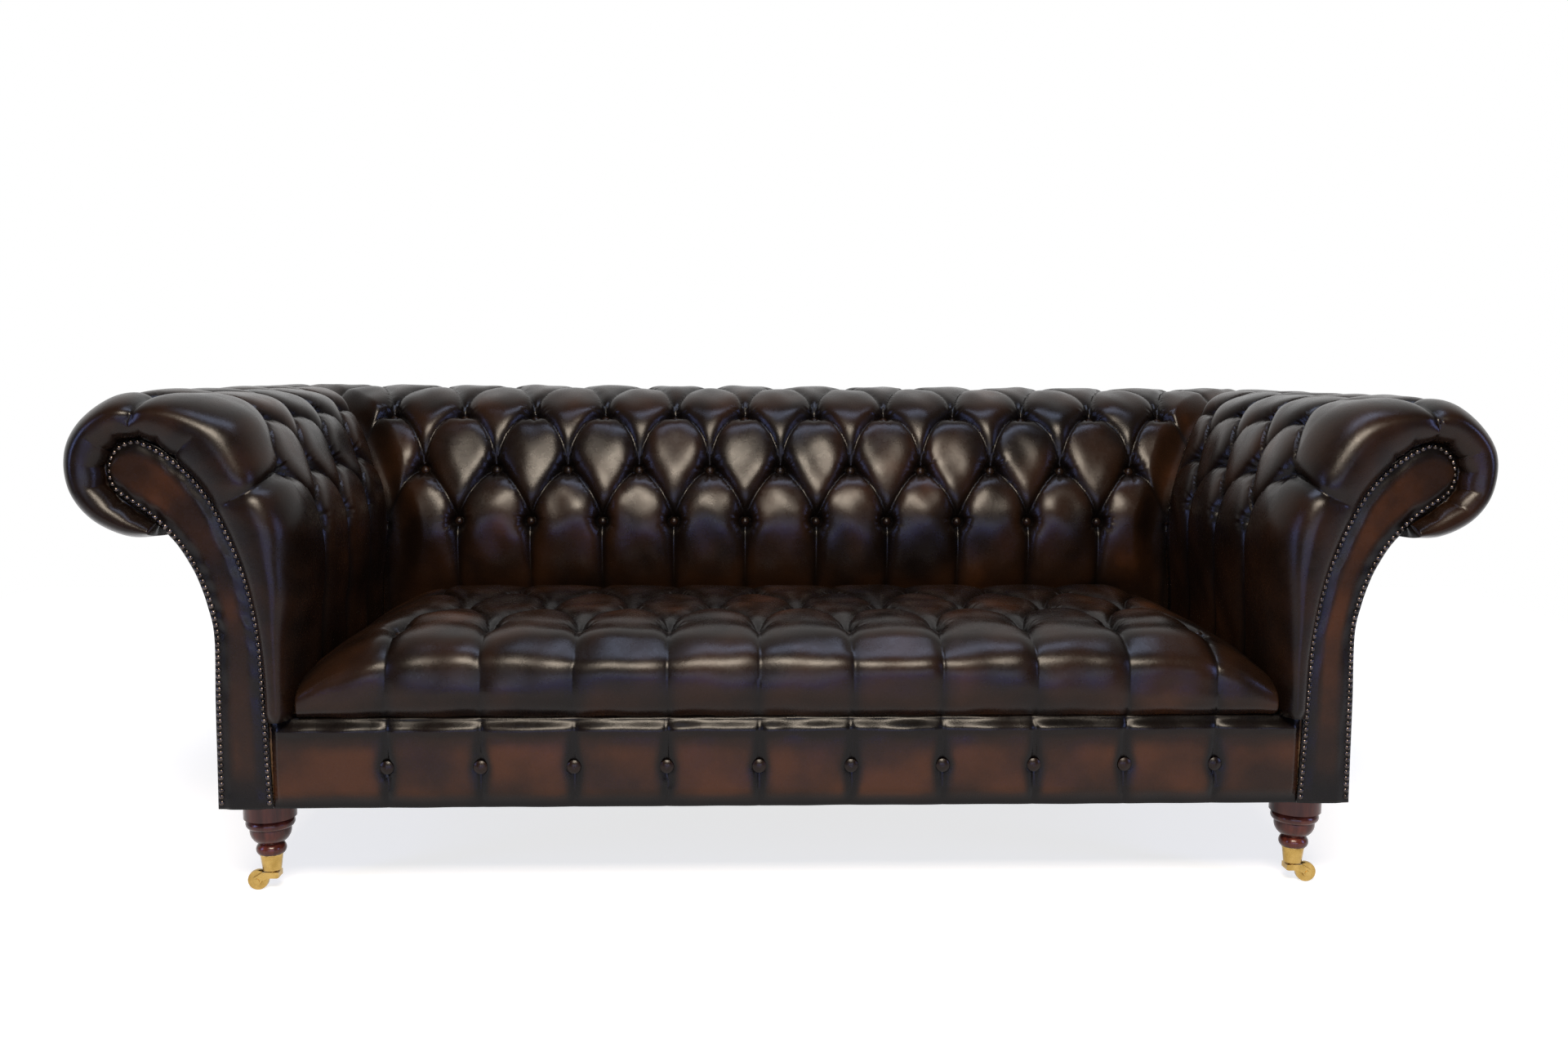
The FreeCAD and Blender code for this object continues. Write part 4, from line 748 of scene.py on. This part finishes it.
def seat_pad():
    """The seat, from the seam above the border over its front lip to the back."""
    rng = np.random.default_rng(31)
    rows = seat_section.rows
    us = stations([0, rows[2] + 20, seat_section.end], [3.0, 4.5])
    sheet = Sheet(us, np.linspace(-SEAT_HALF, SEAT_HALF, 541))
    lay_folds(sheet, rows, SEAT_BUTTONS, (1.35, 1.35), 0.62, rng)
    press_buttons(sheet, rows, SEAT_BUTTONS)
    for t in SEAT_BUTTONS[0]:
        pleat(sheet, (rows[0], 0), t, 0.62, rng, lean=rng.uniform(-3, 5))
    for t in SEAT_BUTTONS[2]:
        pleat(sheet, (rows[2], seat_section.end), t, 0.7, rng)
    sheet.raise_lips()
    sheet.settle(13.0)
    places = seat_section.places(sheet.u, sheet.level)
    wave = ripples(sheet.u, sheet.t, 35, (60, 160)) * 1.8 * soft_step(sheet.level * 1.5 - 0.4)
    places = places - across(places, wave + puckers(sheet, rows, SEAT_BUTTONS, rng, 1.0))
    slope = np.clip((np.abs(sheet.t) - SEAT_FLAT_HALF) / (SEAT_HALF - SEAT_FLAT_HALF), 0, 1)
    drop = SEAT_END_DROP * slope**1.8
    share = np.clip((places[..., 1] - SEAT_BASE) / SEAT_RISE, 0, 1)
    height = places[..., 1] - drop * share
    front = np.stack([sheet.t, FRONT + places[..., 0], height], axis=2)
    core = np.array(SEAT_CORE, float)
    lines = np.repeat(core[:, None, :], len(sheet.ts), axis=1)
    low = np.minimum(lines[..., 1], 352 - 20 * slope[:1] ** 1.8)
    back = np.stack([np.broadcast_to(sheet.ts, low.shape), FRONT + lines[..., 0], low], axis=2)
    return closed_mesh("seat_pad", front, back, rub_and_shade_of(sheet, 41, 0.06))


BORDER_HALF = 798.0
BORDER_BASE = 162.0
BORDER_TOP = 303.7
BORDER_BUTTON = 227.0


def border_pad():
    """The border below the seat, with a pleat through each of its buttons and a puckered upper edge."""
    rng = np.random.default_rng(51)
    us = stations([BORDER_BASE, BORDER_TOP], [3.0])
    sheet = Sheet(us, np.linspace(-BORDER_HALF, BORDER_HALF, 533))
    for t in SEAT_BUTTONS[0]:
        for end in (BORDER_BASE, BORDER_TOP):
            pleat(sheet, (BORDER_BUTTON, end), t, 0.62, rng)
        sheet.button(BORDER_BUTTON, t, 6.0, 0.05)
    sheet.settle(7.0)
    u, t = sheet.u, sheet.t
    from_top = BORDER_TOP - u
    from_base = u - BORDER_BASE
    belly = 9 * np.minimum(soft_step(from_top / 22), soft_step(from_base / 30))
    belly += 3 * np.exp(-(((from_top - 16) / 9) ** 2))
    tight = ripples(u * 0.35, t, 53, (34, 80)) * 2.4 * np.exp(-(((from_top - 17) / 13) ** 2))
    loose = ripples(u, t, 54, (70, 200)) * 1.2
    out = belly * sheet.level + (tight + loose) * soft_step(sheet.level * 1.6 - 0.5)
    ends = soft_step((BORDER_HALF - np.abs(t)) / 12)
    y = 2 + 3 * (1 - sheet.level) - np.minimum(out, 14.0) * ends
    front = np.stack([t, FRONT + y, u], axis=2)
    rear = np.full(len(sheet.ts), FRONT + 17.6)
    heights = [np.full(len(sheet.ts), z) for z in (BORDER_TOP, BORDER_BASE)]
    lines = [np.stack([sheet.ts, rear, height], axis=1) for height in heights]
    middle = ripples(t, u, 57, (90, 260))
    # Lighter across the middle of the border; darker in the pleats, as painted shade, and near its top seam and
    # its foot.
    patch = soft_step(from_top / 60) * soft_step(from_base / 26) * soft_step((sheet.level - 0.75) / 0.25)
    rub_and_shade = np.clip(patch * (0.86 + 0.2 * middle), 0, 1)
    return closed_mesh("border_pad", front, np.array(lines), rub_and_shade)


# Facings, and the plain leather outside the arms and back.

FACING_INNER = [
    (186, 162), (184, 240), (182, 320), (179, 400), (171, 464), (158, 528), (137, 587), (111, 640),
    (91, 669), (67, 694), (38, 718), (7, 731), (-12, 729), (-28, 719), (-38, 703), (-42, 685),
]
FACING_OUTER = [
    (103, 162), (104, 240), (105, 330), (107, 430), (99, 478), (86, 520), (73, 547), (59, 570),
    (44, 588), (28, 604), (12, 616), (-8, 630), (-21, 641), (-31, 651), (-38, 664), (-42, 685),
]


def facing(name, side, seed):
    """The flat scroll on the front of an arm: leather over thin padding, drawn in along its nails."""
    along = np.linspace(0, 1, 260)
    inner = smooth_curve(np.linspace(0, 1, 16), FACING_INNER, along)
    outer = smooth_curve(np.linspace(0, 1, 16), FACING_OUTER, along)
    over = np.linspace(0, 1, 34)
    places = inner[None] * (1 - over[:, None, None]) + outer[None] * over[:, None, None]
    width = np.linalg.norm(inner - outer, axis=1)
    from_edge = np.minimum(over[:, None], 1 - over[:, None]) * np.maximum(width, 1)[None]
    run = np.broadcast_to(chords(inner)[None], from_edge.shape)
    tip = soft_step((chords(inner)[-1] - run) / 40)
    crown = 3.4 * soft_step((from_edge - 7) / 16) * tip
    gather = ripples(run, from_edge * 0.3, seed, (24, 60)) * 1.3 * np.exp(-(((from_edge - 16) / 7) ** 2)) * tip
    y = 0.6 * np.exp(-from_edge / 2) - crown - gather
    front = np.stack([side * (SPREAD - places[..., 0]), FRONT + y, places[..., 1]], axis=2)
    rear = np.array([front[-1], front[0]])
    rear[..., 1] = FRONT + 4.9
    # Lighter across the middle of the facing; darker near its nails and tip, and towards its foot.
    lightness = soft_step((from_edge - 9) / 22) * tip * (0.72 + 0.25 * ripples(run, from_edge, seed + 1, (120, 300)))
    lightness *= soft_step((places[..., 1] - 175) / 60)
    return closed_mesh(name, front, rear, np.clip(lightness, 0, 1))


OUTSIDE = [
    (103, 162), (104, 240), (105, 330), (107, 430), (99, 478), (86, 520), (73, 547), (59, 570),
    (44, 588), (27, 606),
]


def outside_places(u):
    return smooth_curve(chords(OUTSIDE), OUTSIDE, u)


def outside_sheet(ts, seed):
    """Taut leather with slight unevenness: the places across it, u and t of each point, and its colour."""
    us = np.linspace(0, chords(OUTSIDE)[-1], 66)
    u, t = np.meshgrid(us, ts, indexing="ij")
    places = outside_places(u.ravel()).reshape(*u.shape, 2)
    slack = ripples(u, t, seed, (160, 420)) * 0.9 * soft_step(u / 60)
    places = places + np.stack([slack, np.zeros_like(slack)], axis=2)
    # Lighter in random patches; darker within about 50 mm of the foot and 60 mm of the top.
    rub_and_shade = np.clip(0.30 + 0.22 * ripples(u, t, seed + 2, (220, 600)), 0, 1) * soft_step(u / 50)
    return places, u, t, rub_and_shade * soft_step((us[-1] - u) / 60)


def outside_lines(u, ts):
    """The hidden side of the same leather, from its top down."""
    inner = outside_places(np.linspace(u.max(), 0, 12)) + (4.0, 0)
    lines = np.repeat(inner[:, None, :], len(ts), axis=1)
    return lines, np.broadcast_to(ts, lines.shape[:2])


def outside_arm(name, side, seed):
    ts = np.linspace(5.2, 915, 230)
    places, u, t, rub_and_shade = outside_sheet(ts, seed)
    y = np.minimum(t, DEPTH - places[..., 0] - PANEL_GAP)
    front = np.stack([side * (SPREAD - places[..., 0]), FRONT + y, places[..., 1]], axis=2)
    lines, t = outside_lines(u, ts)
    y = np.minimum(t, DEPTH - lines[..., 0] - PANEL_GAP)
    back = np.stack([side * (SPREAD - lines[..., 0]), FRONT + y, lines[..., 1]], axis=2)
    return closed_mesh(name, front, back, rub_and_shade)


def outside_back():
    ts = np.linspace(-960, 960, 321)
    places, u, t, rub_and_shade = outside_sheet(ts, 77)
    limit = SPREAD - places[..., 0] - PANEL_GAP
    front = np.stack([np.clip(t, -limit, limit), ROLL_Y - places[..., 0], places[..., 1]], axis=2)
    lines, t = outside_lines(u, ts)
    limit = SPREAD - lines[..., 0] - PANEL_GAP
    x = np.clip(t, -limit, limit)
    back = np.stack([x, ROLL_Y - lines[..., 0], lines[..., 1]], axis=2)
    return closed_mesh("outside_back_panel", front, back, rub_and_shade)


def covered_button(bm, spot, out):
    """A leather-covered button on its tuft, turned round its own axis."""
    radius, stem, dome = 7.5, 8.0, 4.5
    profile = [(1.6, 0), (1.6, stem - 1), (radius * 0.86, stem - 0.6), (radius, stem + 0.2)]
    for share in (0.1, 0.25, 0.4, 0.55, 0.7, 0.85):
        angle = share * math.pi / 2
        profile.append((radius * math.cos(angle), stem + 0.6 + (dome - 0.6) * math.sin(angle)))
    verts = [bm.verts.new((r, 0, z)) for r, z in profile]
    top = bm.verts.new((0, 0, stem + dome))
    foot = bm.verts.new((0, 0, 0))
    chain = [foot, *verts, top]
    edges = [bm.edges.new(pair) for pair in zip(chain, chain[1:])]
    bmesh.ops.spin(
        bm, geom=chain + edges, cent=(0, 0, 0), axis=(0, 0, 1), angle=math.tau, steps=24, use_merge=True
    )
    bmesh.ops.remove_doubles(bm, verts=[v for v in bm.verts if not v.tag], dist=0.001)
    fresh = [v for v in bm.verts if not v.tag]
    turn = Vector((0, 0, 1)).rotation_difference(Vector(out)).to_matrix().to_4x4()
    move = Matrix.Scale(MM, 4) @ Matrix.Translation(Vector(spot)) @ turn
    bmesh.ops.transform(bm, matrix=move, verts=fresh)
    for vert in fresh:
        vert.tag = True


def corner_buttons():
    """The buttons with which the rows carry on into the corners."""
    bm = bmesh.new()
    places = []
    lower = len(back_section.pits) - len(ROLL_TAIL) - 4
    for row, t in ((0, 759.0), (2, 759.0), (3, 828.0)):
        pit = back_section.pits[lower + row]
        top = back_section.tops[lower + row]
        for side in (-1, 1):
            out = (0, pit[0] - top[0], top[1] - pit[1])
            places.append(((side * t, ROLL_Y - pit[0], pit[1]), out if row < 3 else (0, 0, 1)))
    for row, t in ((0, 577.0), (2, 577.0), (3, 648.0)):
        pit = arm_section.pits[lower + row]
        top = arm_section.tops[lower + row]
        for side in (-1, 1):
            out = (side * (pit[0] - top[0]), 0, top[1] - pit[1])
            places.append(((side * (SPREAD - pit[0]), FRONT + t, pit[1]), out if row < 3 else (0, 0, 1)))
    for spot, out in places:
        covered_button(bm, spot, Vector(out).normalized())
    mesh = bpy.data.meshes.new("corner_buttons")
    bmesh.ops.recalc_face_normals(bm, faces=bm.faces)
    for face in bm.faces:
        face.smooth = True
    bm.to_mesh(mesh)
    bm.free()
    return linked("corner_buttons", mesh)


# Making.

finished(back_pad(), LEATHER, ["back_cover"])
finished(arm_pad("right_arm_pad", 1, 61), LEATHER, ["right_arm_cover"])
finished(arm_pad("left_arm_pad", -1, 71), LEATHER, ["left_arm_cover"])
finished(seat_pad(), LEATHER, ["seat_cover"])
finished(border_pad(), LEATHER, ["front_border"])
finished(facing("right_facing", 1, 81), LEATHER, ["right_arm_facing"])
finished(facing("left_facing", -1, 91), LEATHER, ["left_arm_facing"])
finished(outside_arm("right_outside_panel", 1, 73), LEATHER, ["right_outside_arm"])
finished(outside_arm("left_outside_panel", -1, 75), LEATHER, ["left_outside_arm"])
finished(outside_back(), LEATHER, ["outside_back"])
finished(corner_buttons(), BUTTON_LEATHER)


def node_material(name):
    """The finish of a carried-over node, by what it is."""
    if name.endswith("_buttons"):
        return BUTTON_LEATHER
    if name.endswith("_leg"):
        return MAHOGANY
    if "castor" in name:
        return BRASS
    if name == "facing_nails":
        return NAIL_BRASS
    if name in ("seat_springs", "spring_clips", "leg_bolts"):
        return STEEL
    if name.endswith("foam"):
        return FOAM
    if name in ("back_webbing", "arm_webbing", "seat_hessian"):
        return WEBBING
    if name == "dust_cover":
        return DUST_CLOTH
    if name == "border_backing":
        return BOARD
    return BEECH


for name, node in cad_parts.items():
    node.data.materials.clear()
    node.data.materials.append(node_material(name))


# Floor, lights and camera.


def make_floor():
    """A white floor that meets the white world behind it.

    Its glow shows to the camera and in reflections only, and is weaker round the sofa, so the shadow stays.
    """
    bm = bmesh.new()
    bmesh.ops.create_grid(bm, x_segments=1, y_segments=1, size=2.7)
    mesh = bpy.data.meshes.new("floor")
    bm.to_mesh(mesh)
    bm.free()
    floor = linked("floor", mesh)
    material, tree, shader = new_material("white_floor")
    shader.inputs["Base Color"].default_value = (0.42, 0.42, 0.42, 1)
    shader.inputs["Roughness"].default_value = 0.9
    shader.inputs["Specular IOR Level"].default_value = 0.1
    glow = add(tree, "ShaderNodeEmission")
    glow.inputs["Color"].default_value = (1, 1, 1, 1)
    path = add(tree, "ShaderNodeLightPath")
    shown = calc(tree, "ADD", path.outputs["Is Camera Ray"], path.outputs["Is Glossy Ray"])
    shown = calc(tree, "MAXIMUM", shown, path.outputs["Is Transmission Ray"])
    reach = add(tree, "ShaderNodeVectorMath", operation="LENGTH")
    tree.links.new(object_place(tree), reach.inputs[0])
    brighter = stretch_range(tree, reach.outputs["Value"], 1.0, 2.3, 0.74, 1.0)
    tree.links.new(calc(tree, "MULTIPLY", shown, brighter), glow.inputs["Strength"])
    both = add(tree, "ShaderNodeAddShader")
    tree.links.new(shader.outputs[0], both.inputs[0])
    tree.links.new(glow.outputs[0], both.inputs[1])
    tree.links.new(both.outputs[0], tree.nodes["Material Output"].inputs["Surface"])
    mesh.materials.append(material)


WORLD_LIGHT = 0.14  # even light from all sides


def make_world():
    """White to the camera. In reflections it is white behind the sofa, and dim in front of it."""
    world = bpy.data.worlds.new("studio")
    world.use_nodes = True
    tree = world.node_tree
    background = tree.nodes["Background"]
    background.inputs["Color"].default_value = (1, 1, 1, 1)
    path = add(tree, "ShaderNodeLightPath")
    mirrored = calc(tree, "MAXIMUM", path.outputs["Is Glossy Ray"], path.outputs["Is Transmission Ray"])
    way = add(tree, "ShaderNodeSeparateXYZ")
    tree.links.new(add(tree, "ShaderNodeTexCoord").outputs["Generated"], way.inputs[0])
    behind = stretch_range(tree, way.outputs["Y"], -0.1, 0.5, WORLD_LIGHT, 1.0)
    strength = calc(tree, "MAXIMUM", calc(tree, "MULTIPLY", mirrored, behind), WORLD_LIGHT)
    strength = calc(tree, "MAXIMUM", path.outputs["Is Camera Ray"], strength)
    tree.links.new(strength, background.inputs["Strength"])
    bpy.context.scene.world = world


def soft_light(name, place, target, size, power, colour):
    data = bpy.data.lights.new(name, "AREA")
    data.shape = "RECTANGLE"
    data.size, data.size_y = size
    data.energy = power
    data.color = colour
    lamp = bpy.data.objects.new(name, data)
    lamp.location = place
    lamp.rotation_euler = (Vector(target) - Vector(place)).to_track_quat("-Z", "Y").to_euler()
    bpy.context.collection.objects.link(lamp)


FOCAL_LENGTH = 1700.0  # in pixels of the photograph
PHOTO_WIDTH = 1920.0
CAMERA_PLACE = (-0.0933, -2.5438, 0.8445)
CAMERA_ANGLES = (2.132, 6.437, 0.328)  # yaw, pitch down and roll, in degrees


def make_camera():
    """The photograph's view, solved from the sofa's straight lines and rows of buttons."""
    data = bpy.data.cameras.new("camera")
    data.sensor_width = 36.0
    data.lens = FOCAL_LENGTH / PHOTO_WIDTH * data.sensor_width
    data.clip_end = 100.0
    camera = bpy.data.objects.new("camera", data)
    yaw, pitch, roll = (math.radians(x) for x in CAMERA_ANGLES)
    ahead = Vector((math.sin(yaw) * math.cos(pitch), math.cos(yaw) * math.cos(pitch), -math.sin(pitch)))
    level = Vector((math.cos(yaw), -math.sin(yaw), 0))
    upright = level.cross(ahead)
    right = level * math.cos(roll) + upright * math.sin(roll)
    up = upright * math.cos(roll) - level * math.sin(roll)
    turn = Matrix((right, up, -ahead)).transposed().to_4x4()
    camera.matrix_world = Matrix.Translation(CAMERA_PLACE) @ turn
    bpy.context.collection.objects.link(camera)
    bpy.context.scene.camera = camera


make_floor()
make_world()
soft_light("window", (-0.1, -2.9, 2.7), (0, 0.1, 0.55), (1.7, 0.8), 205, (1.0, 0.86, 0.70))
soft_light("skylight", (0.2, -0.6, 3.3), (0, 0.0, 0.4), (2.2, 0.7), 50, (0.62, 0.72, 1.0))
soft_light("side_window_left", (-3.6, -1.9, 1.3), (0.3, 0, 0.5), (0.7, 1.6), 42, (0.36, 0.46, 1.0))
soft_light("side_window_right", (3.6, -1.9, 1.3), (-0.3, 0, 0.5), (0.7, 1.6), 42, (0.36, 0.46, 1.0))
soft_light("far_window", (0.0, -3.4, 0.75), (0, 0.1, 0.5), (2.8, 0.32), 24, (0.72, 0.80, 1.0))
soft_light("far_floor", (0.0, -3.4, 0.25), (0, 0.1, 0.5), (2.8, 0.2), 16, (0.24, 0.28, 1.0))
make_camera()
bpy.context.scene.view_settings.view_transform = "Standard"
